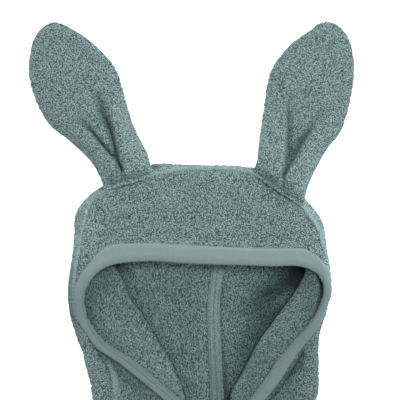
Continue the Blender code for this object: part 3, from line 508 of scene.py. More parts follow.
# One side of the hood, from its top down to the neck. Each row starts on the centre-back seam at
# centreY, runs to the outline (side), over it to the seam with the front band (seam) and on to
# the bound edge (edge). roll is the radius at the outline, reach how far in the cloth keeps
# rising, top how high it gets, edgeZ the edge. crease, hidden, crest and fold give the fold in
# the back half: its place as a share of the way out, the cloth it hides, the crease's radius and
# how much of it there is. bound is how far the binding reaches along the row
sideColumns = ("centreY", "sideX", "sideY", "seamX", "seamY", "edgeX", "edgeY",
               "roll", "reach", "top", "edgeZ", "crease", "hidden", "crest", "fold", "bound")
leftSide = (
    (237.5, 11.0, 257.0, 11.0, 253.0, 11.0, 161.7, 8.0, 12.0, 18.5, 15.0, 0.700, 8.0, 1.7, 0.00, 15.0),
    (219.5, -22.0, 257.5, -22.0, 252.0, -20.0, 163.0, 8.0, 12.0, 18.5, 15.0, 0.700, 8.0, 1.7, 0.00, 15.3),
    (204.5, -51.5, 257.5, -50.5, 246.5, -47.5, 165.0, 8.0, 12.0, 18.5, 15.0, 0.700, 8.0, 1.7, 0.00, 14.8),
    (192.0, -79.0, 247.5, -76.0, 240.5, -72.0, 164.2, 8.0, 12.0, 18.5, 15.0, 0.700, 8.0, 1.7, 0.00, 15.5),
    (180.0, -98.5, 237.0, -96.0, 231.5, -91.0, 161.3, 8.0, 12.0, 18.5, 15.0, 0.700, 8.0, 1.7, 0.00, 17.0),
    (170.0, -114.5, 226.0, -109.0, 223.5, -103.5, 155.3, 7.5, 11.0, 18.0, 15.0, 0.700, 8.0, 1.7, 0.00, 14.7),
    (159.0, -126.5, 209.5, -115.5, 210.5, -110.8, 148.0, 7.0, 10.0, 17.0, 14.5, 0.700, 8.0, 1.7, 0.00, 13.8),
    (148.5, -128.0, 190.0, -120.5, 191.0, -115.5, 140.5, 6.5, 9.0, 15.5, 13.5, 0.755, 8.0, 1.7, 0.45, 15.0),
    (137.5, -130.0, 169.0, -124.0, 170.0, -118.4, 133.5, 6.0, 8.0, 14.0, 12.8, 0.720, 8.0, 1.7, 0.95, 17.5),
    (126.5, -133.0, 149.5, -127.0, 150.5, -119.3, 125.5, 6.0, 8.0, 14.0, 12.5, 0.641, 9.0, 1.7, 1.00, 18.8),
    (116.5, -134.5, 131.5, -128.5, 132.5, -119.2, 118.0, 6.0, 8.0, 14.0, 12.5, 0.592, 10.0, 1.7, 1.00, 16.9),
    (107.0, -133.5, 114.5, -127.0, 116.5, -117.0, 107.5, 6.0, 8.0, 14.0, 12.5, 0.519, 10.0, 1.7, 1.00, 13.0),
    (95.0, -129.5, 99.0, -123.0, 102.5, -111.0, 96.3, 6.0, 9.0, 14.0, 12.5, 0.473, 10.0, 1.7, 1.00, 12.8),
    (83.0, -125.0, 85.0, -115.5, 89.0, -102.0, 84.6, 6.0, 11.0, 13.8, 12.4, 0.433, 10.0, 1.7, 1.00, 12.8),
    (73.0, -120.5, 74.0, -106.0, 76.0, -91.5, 76.0, 5.5, 14.0, 13.5, 12.3, 0.395, 10.0, 1.7, 1.00, 13.0),
    (63.5, -118.0, 63.5, -96.0, 63.5, -74.5, 66.0, 5.5, 15.0, 13.0, 12.3, 0.351, 10.0, 1.7, 1.00, 13.0),
    (51.5, -115.0, 51.5, -90.0, 51.5, -59.0, 53.5, 5.5, 15.0, 13.0, 12.2, 0.318, 10.0, 1.7, 1.00, 13.0),
    (38.5, -111.8, 38.5, -88.0, 38.5, -41.5, 38.5, 5.0, 15.0, 12.5, 12.0, 0.280, 10.0, 1.7, 1.00, 13.0),
    (25.5, -110.0, 25.5, -87.0, 25.0, -24.5, 24.5, 4.5, 14.0, 11.0, 12.0, 0.250, 10.0, 1.7, 0.90, 13.0),
    (13.0, -104.0, 13.0, -85.0, 10.0, 3.0, 2.5, 2.8, 7.0, 7.4, 8.4, 0.240, 10.0, 1.7, 0.25, 13.0),
    (0.6, -95.0, 0.6, -80.0, -3.2, 43.7, -34.2, 1.6, 2.0, 4.3, 5.8, 0.270, 10.0, 1.7, 0.00, 13.0),
)
rightSide = (
    (237.5, 11.0, 257.0, 11.0, 253.0, 11.0, 161.7, 8.0, 12.0, 18.5, 15.0, 0.700, 8.0, 1.7, 0.00, 15.0),
    (219.5, 41.5, 254.5, 41.5, 250.0, 41.5, 160.9, 8.0, 12.0, 18.5, 15.0, 0.700, 8.0, 1.7, 0.00, 14.6),
    (204.5, 68.0, 250.0, 65.5, 240.5, 68.0, 160.1, 8.0, 12.0, 18.5, 15.0, 0.700, 8.0, 1.7, 0.00, 15.0),
    (192.0, 87.0, 241.0, 81.0, 231.5, 88.0, 160.6, 8.0, 12.0, 18.5, 15.0, 0.700, 8.0, 1.7, 0.00, 14.8),
    (180.0, 98.5, 224.5, 92.5, 220.5, 100.3, 158.5, 8.0, 12.0, 18.5, 15.0, 0.700, 8.0, 1.7, 0.00, 16.3),
    (168.0, 109.5, 212.0, 103.0, 207.5, 106.5, 155.6, 7.5, 11.0, 18.0, 15.0, 0.700, 8.0, 1.7, 0.00, 15.4),
    (156.5, 117.5, 197.5, 112.0, 194.0, 112.0, 152.5, 7.5, 10.0, 17.5, 15.0, 0.700, 6.0, 1.7, 0.00, 14.8),
    (144.5, 120.0, 178.0, 116.5, 177.0, 115.2, 147.5, 7.0, 8.0, 16.5, 15.0, 0.880, 6.0, 2.4, 0.45, 15.0),
    (133.5, 123.0, 161.5, 120.0, 161.5, 117.8, 142.5, 7.0, 7.0, 16.0, 14.5, 0.822, 6.0, 3.0, 0.95, 15.0),
    (124.5, 125.0, 146.5, 122.5, 147.0, 119.4, 136.5, 7.0, 7.0, 16.0, 14.5, 0.754, 7.0, 3.2, 1.00, 15.0),
    (114.5, 125.5, 133.5, 123.0, 134.0, 119.3, 127.5, 7.0, 7.0, 16.0, 14.5, 0.679, 9.0, 3.2, 1.00, 13.0),
    (102.0, 121.5, 115.5, 119.0, 116.5, 113.2, 112.3, 6.5, 7.0, 15.8, 14.5, 0.583, 10.0, 3.2, 1.00, 13.0),
    (91.0, 117.0, 102.0, 114.0, 103.0, 103.6, 98.5, 6.0, 8.0, 15.5, 14.5, 0.517, 10.0, 3.2, 1.00, 13.0),
    (81.0, 113.5, 89.0, 108.0, 90.5, 93.4, 86.8, 6.0, 11.0, 15.0, 14.2, 0.444, 10.0, 3.2, 1.00, 13.0),
    (71.0, 112.5, 77.0, 101.5, 78.5, 84.0, 75.6, 6.0, 13.0, 14.5, 14.0, 0.385, 10.0, 3.2, 1.00, 13.0),
    (60.5, 112.5, 63.5, 97.5, 64.5, 73.5, 63.0, 6.0, 14.0, 14.2, 14.0, 0.323, 10.0, 3.2, 1.00, 13.0),
    (46.5, 112.5, 48.5, 93.5, 49.0, 64.0, 48.0, 5.5, 15.0, 14.0, 13.8, 0.247, 10.0, 3.0, 1.00, 13.0),
    (31.5, 112.0, 32.5, 90.5, 31.5, 50.5, 30.0, 5.0, 15.0, 12.5, 13.4, 0.156, 10.0, 2.4, 0.92, 13.0),
    (15.0, 106.0, 18.0, 87.0, 13.0, 31.0, 7.0, 3.0, 7.0, 8.0, 13.3, 0.110, 10.0, 2.0, 0.30, 13.0),
    (0.6, 95.0, 0.6, 82.0, -4.2, 4.3, -34.2, 1.6, 2.0, 4.3, 11.0, 0.150, 10.0, 1.7, 0.00, 13.0),
)

hood = {
    "sections": 70,         # worked out from each table before the fine grid is drawn
    "insetLeft": 2.0,       # the outline's middle lies this far inside what the eye sees
    "insetRight": 1.2,
    "meet": 24.0,           # this near the neck the band's height goes over to the front's
    "quarter": (22.5, 45.0, 67.5, 90.0),        # the outline's roll, in degrees
    "strip": (0.08, 0.25, 0.5, 0.75, 1.0),      # shares of the way from the outline to the seam
    "half": (-90.0, -30.0, 30.0, 90.0),         # each half turn of the fold, in degrees
    "turn": 1.6,            # radius of the fold's hidden turn
    "slant": 0.6,           # the cloth rises by this on its way back to the crease
    "inside": (0.0, 0.45, 0.88),                # shares of the way to the crease
    "pastTurn": 2.2,
    # From there to the outline's roll: share of the way, and of the fold's height
    "fall": ((0.0, 0.92), (0.35, 0.78), (0.7, 0.52), (1.0, 0.0)),
    # The same points where there is no fold: the length that takes up most of them, its middle
    # past the crease, each at most the given share of the way, and the shares before and after
    "flatSpan": (18.0, 0.5),
    "flatMiddle": (5.5, 0.62),
    "flatBefore": (0.0, 0.45, 0.9),
    "flatAfter": (0.25, 0.5, 0.75, 1.0),
    "risen": 0.4,           # the fold has its full height from this much of it on
}


# Every named value of one side, at evenly spaced sections, with the outline drawn in by the inset
def hoodSections(table, inset):
    stops = np.arange(len(table), dtype=float)
    values = through(table, stops, np.linspace(0.0, stops[-1], hood["sections"]))
    s = {name: values[:, k] for k, name in enumerate(sideColumns)}
    s["fold"] = np.clip(s["fold"], 0.0, 1.0)
    outX, outY = s["sideX"] - lay["centreX"], s["sideY"] - s["centreY"]
    outLength = np.hypot(outX, outY)
    s["sideX"] = s["sideX"] - outX / outLength * inset
    s["sideY"] = s["sideY"] - outY / outLength * inset
    s["strip"] = np.hypot(s["seamX"] - s["sideX"], s["seamY"] - s["sideY"])
    s["band"] = np.hypot(s["edgeX"] - s["seamX"], s["edgeY"] - s["seamY"])
    s["meet"] = 1.0 - smooth(s["centreY"] / hood["meet"])
    return s


# Height of the upper cloth at the distance q in from the outline: a quarter ellipse up to top
# within reach, then an even fall to the edge
def riseAt(s, q):
    start, top, reach = ((lay["bed"] + s["roll"])[:, None], s["top"][:, None], s["reach"][:, None])
    width = (s["strip"] + s["band"])[:, None]
    share = np.clip(q / reach, 0.0, 1.0)
    arch = start + (top - start) * np.sqrt(1.0 - (1.0 - share) ** 2)
    fall = smooth((q - reach) / np.maximum(width - reach, 1.0))
    return arch + (s["edgeZ"][:, None] - top) * fall


# The lower layer from the centre-back seam to the outline's roll, as (distance, height): out past
# the crease, round a hidden turn, back to the crease, round it and out over both layers
def foldPath(s, length):
    bed, turn = lay["bed"], hood["turn"]
    crease, hidden, crest = s["crease"] * length, s["hidden"], s["crest"]
    inner = crease + hidden
    angles = np.radians(hood["half"])
    zero = np.zeros_like(length)
    places = [crease * share for share in hood["inside"]]
    heights = [zero + bed] * len(places)
    places += [inner + turn * math.cos(a) for a in angles]
    heights += [zero + bed + turn + turn * math.sin(a) for a in angles]
    second = bed + 2 * turn + hood["slant"]
    places += [crease + crest - crest * math.cos(a) for a in angles]
    heights += [second + crest + crest * math.sin(a) for a in angles]
    upper = second + 2 * crest
    end = length - s["roll"]
    over = inner + turn + hood["pastTurn"]
    for share, height in hood["fall"]:
        places.append(over + (end - over) * share)
        heights.append(bed + (upper - bed) * height)
    folded = np.stack((np.stack(places, axis=1), np.stack(heights, axis=1)), axis=-1)
    half = 0.5 * np.minimum(hood["flatSpan"][0], hood["flatSpan"][1] * end)
    middle = np.minimum(crease + hood["flatMiddle"][0], hood["flatMiddle"][1] * end)
    first = (middle - half)[:, None] * np.array(hood["flatBefore"])
    dense = middle[:, None] + half[:, None] * np.linspace(-1.0, 1.0, 2 * len(angles))
    last = (middle + half)[:, None] + (end - middle - half)[:, None] * np.array(hood["flatAfter"])
    flat = np.concatenate((first, dense, last), axis=1)
    amount = s["fold"][:, None]
    place = flat + (folded[..., 0] - flat) * amount
    return place, bed + (folded[..., 1] - bed) * smooth(amount / hood["risen"])


# A back half: along the table, a quarter circle up at the outline, and over to the seam
def backHalf(s, sign):
    centre = np.stack((np.full(hood["sections"], lay["centreX"]), s["centreY"]), axis=-1)
    side = np.stack((s["sideX"], s["sideY"]), axis=-1)
    seam = np.stack((s["seamX"], s["seamY"]), axis=-1)
    length = np.linalg.norm(side - centre, axis=-1)
    out = (side - centre) / length[:, None]
    place, height = foldPath(s, length)
    angles = np.radians(hood["quarter"])
    roll = s["roll"][:, None]
    place = np.concatenate((place, length[:, None] - roll + roll * np.sin(angles)), axis=1)
    height = np.concatenate((height, lay["bed"] + roll - roll * np.cos(angles)), axis=1)
    lower = centre[:, None] + out[:, None] * place[..., None]
    q = (s["strip"] - lay["seamGap"] / 2)[:, None] * np.array(hood["strip"])
    inward = (seam - side) / s["strip"][:, None]
    upper = side[:, None] + inward[:, None] * q[..., None]
    plan = np.concatenate((lower, upper), axis=1)
    heights = np.concatenate((height, riseAt(s, q)), axis=1)
    grid = np.concatenate((plan, heights[..., None]), axis=-1)
    grid[:, :, 0] += sign * lay["seamGap"] / 2
    return grid


binding = {
    "width": 13.0,          # on the fronts
    "frontStep": 2.0,       # spacing of the rows there
    "columns": 16,
    "share": 0.97,          # the most of the band that it takes up
    "spacing": (1.7, 1.0),
    "thick": 0.9,
    "off": 1.85,            # its middle, from the middle of the cloth it binds
    "out": 0.7,             # and this far out at the edge
    "turn": (75.0, -90.0, 9),       # round the edge from and to these degrees, in so many points
    # Fuller in the middle: by how much, then the distance it is eased in over and its start
    "full": 1.3,
    "fromHem": (2.4, 0.25),
    "fromEdge": (6.0, 0.3),
    # Height, place from the hem and width of the stitches' groove and of the drop at the hem
    "stitches": (0.2, 2.6, 0.8),
    "drop": (0.7, 0.0, 0.8),
    "lipFrom": (112.0, 25.0),       # below this its inner margin rolls under, eased in over this
    "lipLeft": 4.6,                 # the margin's width on either side
    "lipRight": 0.0,
    "lipEase": 2.0,
    "lipLine": (0.8, 0.8),          # depth and width of the line it rolls at
    "lipDrop": 0.5,
    # Painted shade: below a height, eased over a distance; at the lip's line and on the lip; in the
    # stitches and at the edge; and a painted highlight beside the hem
    "low": (0.26, 156.0, 34.0),
    "lipShade": (0.34, 0.9, 0.06),
    "stitchShade": (0.05, 2.6, 0.6),
    "edgeShade": (0.06, 4.0),
    "hemLight": (0.10, 1.0, 2.5),
}


# One side of the front band at these distances from its bound edge. Near the neck its height goes
# over to the front's
def bandGrid(s, frontHeight, away):
    seam = np.stack((s["seamX"], s["seamY"]), axis=-1)
    edge = np.stack((s["edgeX"], s["edgeY"]), axis=-1)
    inward = (edge - seam) / s["band"][:, None]
    plan = edge[:, None] - inward[:, None] * away[..., None]
    z = riseAt(s, (s["strip"] + s["band"])[:, None] - away)
    z = z + (frontHeight(plan[..., 0], plan[..., 1]) - z) * s["meet"][:, None]
    return np.concatenate((plan, z[..., None]), axis=-1)


def backHeight(x, y):
    return lay["bed"] + beltLift(y)


body = {
    "neckHalf": 95.0,
    "shoulder": (155.0, -28.0),
    "underarm": (165.0, -165.0),
    "hem": (215.0, -560.0),
    "leftTop": (44.0, -35.0),       # a front's bound edge where it meets the hood
    "rightTop": (4.0, -35.0),
    "leftEdge": 64.0,               # and lower down
    "rightEdge": -34.0,
    "turn": 60.0,
    "edgeRise": 1.5,
    "leftRise": (27.0, 14.0),       # the left front rises from this far inside its edge, over this
    "climb": (5.35, 100.0, 28.0),   # the right front climbs by this at x, over this distance
    "nearNeck": (-120.0, 80.0),     # and rises as much as an edge near the neck: from y, over
    "nearEdge": (45.0, 25.0),       # and from x, over
}
belt = {
    "y": -245.0,
    "width": 32.0,
    "thick": 2.4,
    "beside": 2.0,          # the cloth over it is lifted this far past its edges too,
    "ramp": 28.0,           # and comes down over this distance
    "over": 2.6,
}


# The cloth over the belt is lifted by its thickness, and eases down beside it
def beltLift(y):
    away = (np.abs(y - belt["y"]) - belt["width"] / 2 - belt["beside"]) / belt["ramp"]
    return (belt["thick"] + lay["seamGap"]) * (1.0 - smooth(away))


# x of a front's bound edge: it turns from top to low as 1 - exp(-depth / turn)
def edgeLine(y, top, low):
    return top[0] + (low - top[0]) * (1.0 - np.exp(np.minimum(y - top[1], 0.0) / body["turn"]))


def leftHeight(x, y):
    edge = edgeLine(y, body["leftTop"], body["leftEdge"])
    within, over = body["leftRise"]
    rise = body["edgeRise"] * smooth((x - edge + within) / over)
    return lay["bed"] + lay["layer"] + rise + beltLift(y)


# The right front climbs on to the left one
def rightHeight(x, y):
    height, start, over = body["climb"]
    climb = height * smooth((start - x) / over)
    (neckFrom, neckOver), (edgeFrom, edgeOver) = body["nearNeck"], body["nearEdge"]
    near = body["edgeRise"] * smooth((y - neckFrom) / neckOver) * smooth((edgeFrom - x) / edgeOver)
    return lay["bed"] + lay["layer"] + climb + near + beltLift(y)


def topHeight(x, y):
    return np.where(x > body["rightEdge"], rightHeight(x, y), leftHeight(x, y))


left = hoodSections(leftSide, hood["insetLeft"])
right = hoodSections(rightSide, hood["insetRight"])

band = {
    "columns": 24,
    "spacing": (1.25, 1.15),
    "ridge": (2.4, 2.3),        # height and width of the seam's ridge
    "ridgeLeast": 0.25,         # this much of it is there where it doesn't show
    # It shows less below these heights, by these shares and over these distances, and again where
    # the share is negative
    "ridgeLeft": ((1.0, 112.0, 10.0), (-1.0, 66.0, 10.0)),
    "ridgeRight": ((0.55, 185.0, 20.0), (0.45, 120.0, 20.0)),
    "light": (0.07, 2.4),       # painted highlight on the seam's ridge: how much lighter, and how wide
    "lean": (1.3, 1.6),         # it leans this far over what is sewn behind it
    "flatLoops": (0.80, 2.6),   # how much of the loops lies flat along the seam, and how wide
    "bare": (0.35, 9.0, 3.0),   # the loops under the binding, from this far to this far past it
    "blend": 20.0,              # left goes over to right this far on either side of x = 0
    "troughEase": (14.0, 5.0),  # troughs are eased out this near the edge and the seam
    "limit": (76.0, 104.0),     # below these, left and right, the rows of loops run up and down
    # Soft dents beside the ears and over the mouth's corners: x, y, height, width
    "troughs": (
        ((-112.0, 205.0, -1.0, 7.0), (-98.0, 188.0, -0.8, 9.0), (-76.0, 176.0, 0.0, 9.0)),
        ((104.0, 200.0, -0.8, 7.0), (98.0, 182.0, -1.0, 9.0), (84.0, 170.0, 0.0, 9.0)),
        ((-40.0, 236.0, -0.6, 9.0), (-10.0, 226.0, -0.8, 12.0), (24.0, 229.0, 0.0, 10.0)),
        ((-110.0, 80.0, -1.0, 4.0), (-102.0, 64.0, -2.6, 5.0), (-88.0, 50.0, -2.4, 5.5),
         (-64.0, 26.0, 0.0, 6.0)),
        ((98.0, 76.0, 0.0, 4.0), (86.0, 54.0, -3.0, 4.5), (76.0, 40.0, -1.8, 5.0),
         (60.0, 22.0, 0.0, 6.0)),
    ),
    # Painted shade where the cloth lies in shade, painted light where the number is negative: x, y,
    # darkness, width
    "shades": (
        ((-112.0, 82.0, 0.05, 5.0), (-101.0, 71.0, 0.45, 5.0), (-90.0, 60.0, 0.35, 6.0),
         (-70.0, 42.0, 0.25, 8.0), (-50.0, 24.0, 0.20, 8.0)),
        ((104.0, 76.0, 0.05, 3.0), (96.0, 65.0, 0.35, 4.0), (89.0, 56.0, 0.55, 5.0),
         (78.0, 42.0, 0.35, 7.0), (56.0, 22.0, 0.15, 8.0)),
        ((-122.0, 222.0, -0.20, 14.0), (-120.0, 196.0, -0.28, 16.0), (-127.0, 160.0, -0.15, 9.0),
         (-130.0, 145.0, 0.05, 8.0), (-132.0, 120.0, 0.32, 8.0), (-128.0, 96.0, 0.20, 8.0),
         (-122.0, 80.0, 0.0, 8.0)),
        ((-116.0, 66.0, -0.15, 8.0), (-112.0, 40.0, -0.12, 9.0), (-106.0, 10.0, -0.05, 9.0)),
        ((-70.0, 44.0, 0.10, 12.0), (-44.0, 16.0, 0.10, 12.0)),
        ((98.0, 214.0, -0.20, 14.0), (110.0, 190.0, -0.22, 12.0), (118.0, 160.0, -0.15, 9.0)),
        ((110.0, 92.0, 0.22, 8.0), (104.0, 70.0, 0.12, 12.0), (96.0, 40.0, 0.0, 12.0)),
        ((-60.0, 246.0, -0.08, 8.0), (10.0, 256.0, -0.10, 8.0), (60.0, 248.0, -0.08, 8.0)),
        ((-52.0, 254.0, 0.65, 3.0), (-45.0, 255.0, 0.45, 2.6)),
    ),
    "low": (110.0, 60.0, 0.10, 0.30),       # painted shade: below and over this the left and right get darker
    # The binding's shadow: distance from it, width, darkness, and how much further away it falls
    # on the right, past a soft margin. It starts below a height, over a distance
    "cast": (2.2, 2.4, 0.45),
    "castRight": 4.0,
    "castFrom": (106.0, 30.0),
}


# Sum over lines. Each row of one is x, y, height and width: at the distance d from
# the line the cloth moves by height exp(-(d / width)^2), down where height is negative
def creases(plan, lines):
    moved = np.zeros(plan.shape[:-1])
    for line in lines:
        rows = np.array(line)
        nearest = np.full(plan.shape[:-1], 1e9)
        height = np.zeros_like(nearest)
        width = np.ones_like(nearest)
        for a, b in zip(rows[:-1], rows[1:]):
            step = (b - a)[:2]
            t = np.clip(((plan - a[:2]) @ step) / (step @ step), 0.0, 1.0)
            away = np.linalg.norm(plan - a[:2] - t[..., None] * step, axis=-1)
            nearer = away < nearest
            nearest = np.where(nearer, away, nearest)
            height = np.where(nearer, a[2] + (b[2] - a[2]) * t, height)
            width = np.where(nearer, a[3] + (b[3] - a[3]) * t, width)
        moved += height * bell(nearest, width)
    return moved


# How much of the seam's ridge shows, from 1 at the top: less by each share, smoothed from its
# height down
def ridgeShare(plan):
    x, y = plan[..., 0], plan[..., 1]
    sides = [1.0 - sum(share * smooth((below - y) / over) for share, below, over in band[name])
             for name in ("ridgeLeft", "ridgeRight")]
    return np.where(x < 0.0, sides[0], sides[1])


def bothSides(make):
    return np.concatenate((make(left, leftHeight)[::-1], make(right, rightHeight)[1:]))


def freeBand(s, frontHeight):
    away = (s["band"] - lay["seamGap"] / 2)[:, None] * np.linspace(1.0, 0.0, band["columns"])
    grid = bandGrid(s, frontHeight, away)
    marks = np.stack((away, s["band"][:, None] - away, away - s["bound"][:, None]), axis=-1)
    return np.concatenate((grid, marks), axis=-1)


wide = refine(bothSides(freeBand), band["spacing"])
front = wide[..., :3].copy()
fromEdge, fromSeam, fromBinding = np.moveaxis(wide[..., 3:], -1, 0)
shows = ridgeShare(front[..., :2])
least = band["ridgeLeast"]
front[..., 2] += band["ridge"][0] * bell(fromSeam, band["ridge"][1]) * (least + (1.0 - least) * shows)
outward = front[:, :1, :2] - front[:, 2:3, :2]
outward = outward / np.linalg.norm(outward, axis=-1, keepdims=True)
front[..., :2] += band["lean"][0] * outward * (bell(fromSeam, band["lean"][1]) * shows)[..., None]
eased = smooth(fromEdge / band["troughEase"][0]) * smooth(fromSeam / band["troughEase"][1])
front[..., 2] += creases(front[..., :2], band["troughs"]) * eased
quiet = 1.0 - band["flatLoops"][0] * bell(fromSeam, band["flatLoops"][1]) * shows
bare, start, over = band["bare"]
quiet = quiet * (bare + (1.0 - bare) * smooth((fromEdge - start) / over))
onRight = smooth((front[..., 0] + band["blend"]) / (2 * band["blend"]))
region = (front[..., 1] < band["limit"][0] + (band["limit"][1] - band["limit"][0]) * onRight) * 1.0
# Painted shade and light on the band: darker low down, the binding's shadow, the shade lines and a highlight
# on the seam
lowFrom, lowOver, darkLeft, darkRight = band["low"]
shade = 1.0 - smooth((lowFrom - front[..., 1]) / lowOver) * (darkLeft + (darkRight - darkLeft) * onRight)
castAway, castWidth, castDark = band["cast"]
castFrom, castOver = band["castFrom"]
beside = bell(fromBinding - (castAway + band["castRight"] * onRight), castWidth)
shade = shade * (1.0 - castDark * beside * smooth((castFrom - front[..., 1]) / castOver))
shade = shade * (1.0 - creases(front[..., :2], band["shades"]))
shade = shade * (1.0 + band["light"][0] * bell(fromSeam, band["light"][1]) * shows)
hoodFront = dress(shell("hoodFront", channels(front, quiet, region, shade), terryCloth, weaves["band"]),
                  terry, "terry", "hood_front")


back = {
    "spacing": (1.35, 1.2),
    "inside": 8.5,          # column of the sections where the hidden turn ends
    "outside": 17.0,
    "within": 0.70,         # shade of the lining side
    # painted shade of the flap
    "flap": 0.79,
    "fuzz": (1.2, 17.0, 1.8),       # how much taller loops are on the outline, its column, and width
    "afar": 40.0,           # stands for the distance from the seam where there is none
    "lowLeft": 0.09,        # painted shade: how much darker the outside is below
    "lowRight": 0.25,
    # the least that the painted shade leaves
    "darkest": 0.04,
    # Painted shade: darkness and width of the line where a fold lies on the cloth, and at the fold's own
    # edge
    "leftLine": (0.88, 1.6, 0.50, 1.3),
    "rightLine": (0.60, 2.2, 0.15, 1.5),
    # Painted shade, and painted light where the darkness is negative: x, y, darkness, width
    "leftShades": (
        ((-86.0, 160.0, 0.45, 8.0), (-75.0, 134.0, 0.22, 9.0), (-61.0, 109.0, 0.22, 9.0),
         (-46.0, 84.0, 0.16, 8.0), (-32.0, 60.0, 0.16, 8.0), (-22.0, 26.0, 0.12, 8.0)),
        ((-66.0, 160.0, -0.40, 7.0), (-20.0, 160.0, -0.75, 8.0), (30.0, 160.0, -0.80, 8.0)),
        ((-36.0, 104.0, -0.08, 9.0), (-27.0, 84.0, -0.10, 7.0)),
        ((0.0, 138.0, -0.10, 8.0), (0.0, 100.0, -0.17, 7.0), (1.0, 60.0, -0.15, 7.0),
         (3.0, 20.0, -0.12, 7.0)),
        ((-22.0, 124.0, 0.04, 7.0), (-16.0, 88.0, 0.08, 6.0), (-14.0, 62.0, 0.02, 6.0)),
    ),
    "rightShades": (
        ((100.0, 150.0, 0.88, 20.0), (86.0, 124.0, 0.80, 25.0), (66.0, 98.0, 0.72, 25.0),
         (50.0, 74.0, 0.54, 22.0), (38.0, 45.0, 0.44, 18.0), (28.0, 10.0, 0.44, 14.0)),
        ((95.0, 152.0, 0.30, 14.0), (72.0, 140.0, 0.32, 13.0), (57.0, 128.0, 0.42, 9.0),
         (46.0, 116.0, 0.20, 9.0), (38.0, 106.0, 0.0, 9.0)),
        ((84.0, 132.0, -0.30, 5.0), (76.0, 122.0, -0.42, 5.0), (66.0, 116.0, -0.05, 6.0)),
        ((16.0, 160.0, -0.80, 8.0), (50.0, 159.0, -0.55, 7.0), (70.0, 159.0, -0.10, 6.0)),
        ((24.0, 104.0, -0.10, 9.0), (34.0, 96.0, -0.12, 9.0)),
        ((17.0, 138.0, 0.22, 2.0), (16.4, 110.0, 0.34, 1.8), (17.2, 88.0, 0.24, 2.0),
         (19.4, 66.0, 0.34, 2.4), (20.5, 50.0, 0.42, 3.0), (21.5, 26.0, 0.50, 3.6)),
    ),
    "flapShades": (
        ((-112.0, 138.0, 0.28, 9.0), (-114.0, 112.0, 0.30, 7.0), (-104.0, 92.0, 0.10, 7.0)),
        ((-94.0, 154.0, 0.40, 12.0), (-98.0, 144.0, 0.32, 12.0), (-104.0, 130.0, 0.10, 10.0)),
        ((-92.0, 106.0, -0.04, 12.0), (-76.0, 92.0, -0.14, 15.0), (-58.0, 74.0, -0.20, 16.0),
         (-40.0, 52.0, -0.20, 15.0), (-26.0, 36.0, -0.18, 12.0)),
        ((96.0, 152.0, 0.55, 9.0), (98.0, 142.0, 0.38, 9.0), (94.0, 131.0, 0.18, 9.0),
         (88.0, 120.0, 0.05, 9.0)),
        ((108.0, 148.0, 0.25, 9.0), (109.0, 132.0, 0.14, 10.0), (100.0, 112.0, 0.08, 10.0)),
        ((114.0, 150.0, -0.50, 4.0), (118.0, 138.0, -0.80, 3.6), (116.0, 120.0, -0.70, 3.6),
         (105.0, 104.0, -0.10, 5.0)),
        ((92.0, 118.0, 0.0, 9.0), (60.0, 66.0, 0.15, 12.0), (40.0, 30.0, 0.15, 12.0)),
    ),
}


# A back half with its loops and shade. Its regions are the lining behind, the flap that lies on it
# and the outside, and each has its own way of the loops and its own shades
def backPiece(name, s, sign, weave, shades, line, node):
    control = backHalf(s, sign)
    rows, columns = control.shape[:2]
    number = np.broadcast_to(np.arange(columns, dtype=float), (rows, columns))
    reach = np.full((rows, columns), back["afar"])
    reach[:, -len(hood["strip"]):] = s["strip"][:, None] * (1.0 - np.array(hood["strip"]))
    middle = np.stack((np.full(rows, lay["centreX"]), s["centreY"]), axis=-1)
    side = np.stack((s["sideX"], s["sideY"]), axis=-1)
    crease = s["crease"] * np.linalg.norm(side - middle, axis=-1)
    beyond = np.linalg.norm(control[..., :2] - middle[:, None], axis=-1) - crease[:, None]
    fold = np.broadcast_to(s["fold"][:, None], (rows, columns))
    marks = np.stack((number, reach, beyond, fold), axis=-1)
    fine = refine(np.concatenate((control, marks), axis=-1), back["spacing"])
    number, reach, beyond, fold = np.moveaxis(fine[..., 3:], -1, 0)
    grid = fine[..., :3].copy()
    near = bell(np.maximum(reach, 0.0), band["light"][1]) * ridgeShare(grid[..., :2])
    grid[..., 2] += band["ridge"][0] * near
    region = (number > back["inside"]) * 1.0 + (number > back["outside"]) * 1.0
    # Painted shade and light: the lining, the flap and the outside each get their own lines
    under = back["within"] * (1.0 - line[0] * fold * bell(np.maximum(-beyond, 0.0), line[1]))
    under = under * np.maximum(1.0 - creases(grid[..., :2], shades), back["darkest"])
    flap = back["flap"] * (1.0 - creases(grid[..., :2], back["flapShades"]))
    flap = flap * (1.0 - line[2] * fold * bell(np.maximum(beyond, 0.0), line[3]))
    outside = (1.0 - creases(grid[..., :2], band["shades"])) * (1.0 + band["light"][0] * near)
    low = back["lowLeft"] if sign < 0 else back["lowRight"]
    outside = outside * (1.0 - low * smooth((band["low"][0] - grid[..., 1]) / band["low"][1]))
    shade = np.where(region < 0.5, under, np.where(region < 1.5, flap, outside))
    quiet = (1.0 - band["flatLoops"][0] * near) * (1.0 + mound(number, back["fuzz"]))
    piece = shell(name, channels(grid, quiet, region, shade), terryCloth, weave)
    return dress(piece, terry, "terry", node)


hoodBackLeft = backPiece("hoodBackLeft", left, -1, weaves["backLeft"],
                         back["leftShades"], back["leftLine"], "hood_back_left")
hoodBackRight = backPiece("hoodBackRight", right, 1, weaves["backRight"],
                          back["rightShades"], back["rightLine"], "hood_back_right")
print("hood ready")


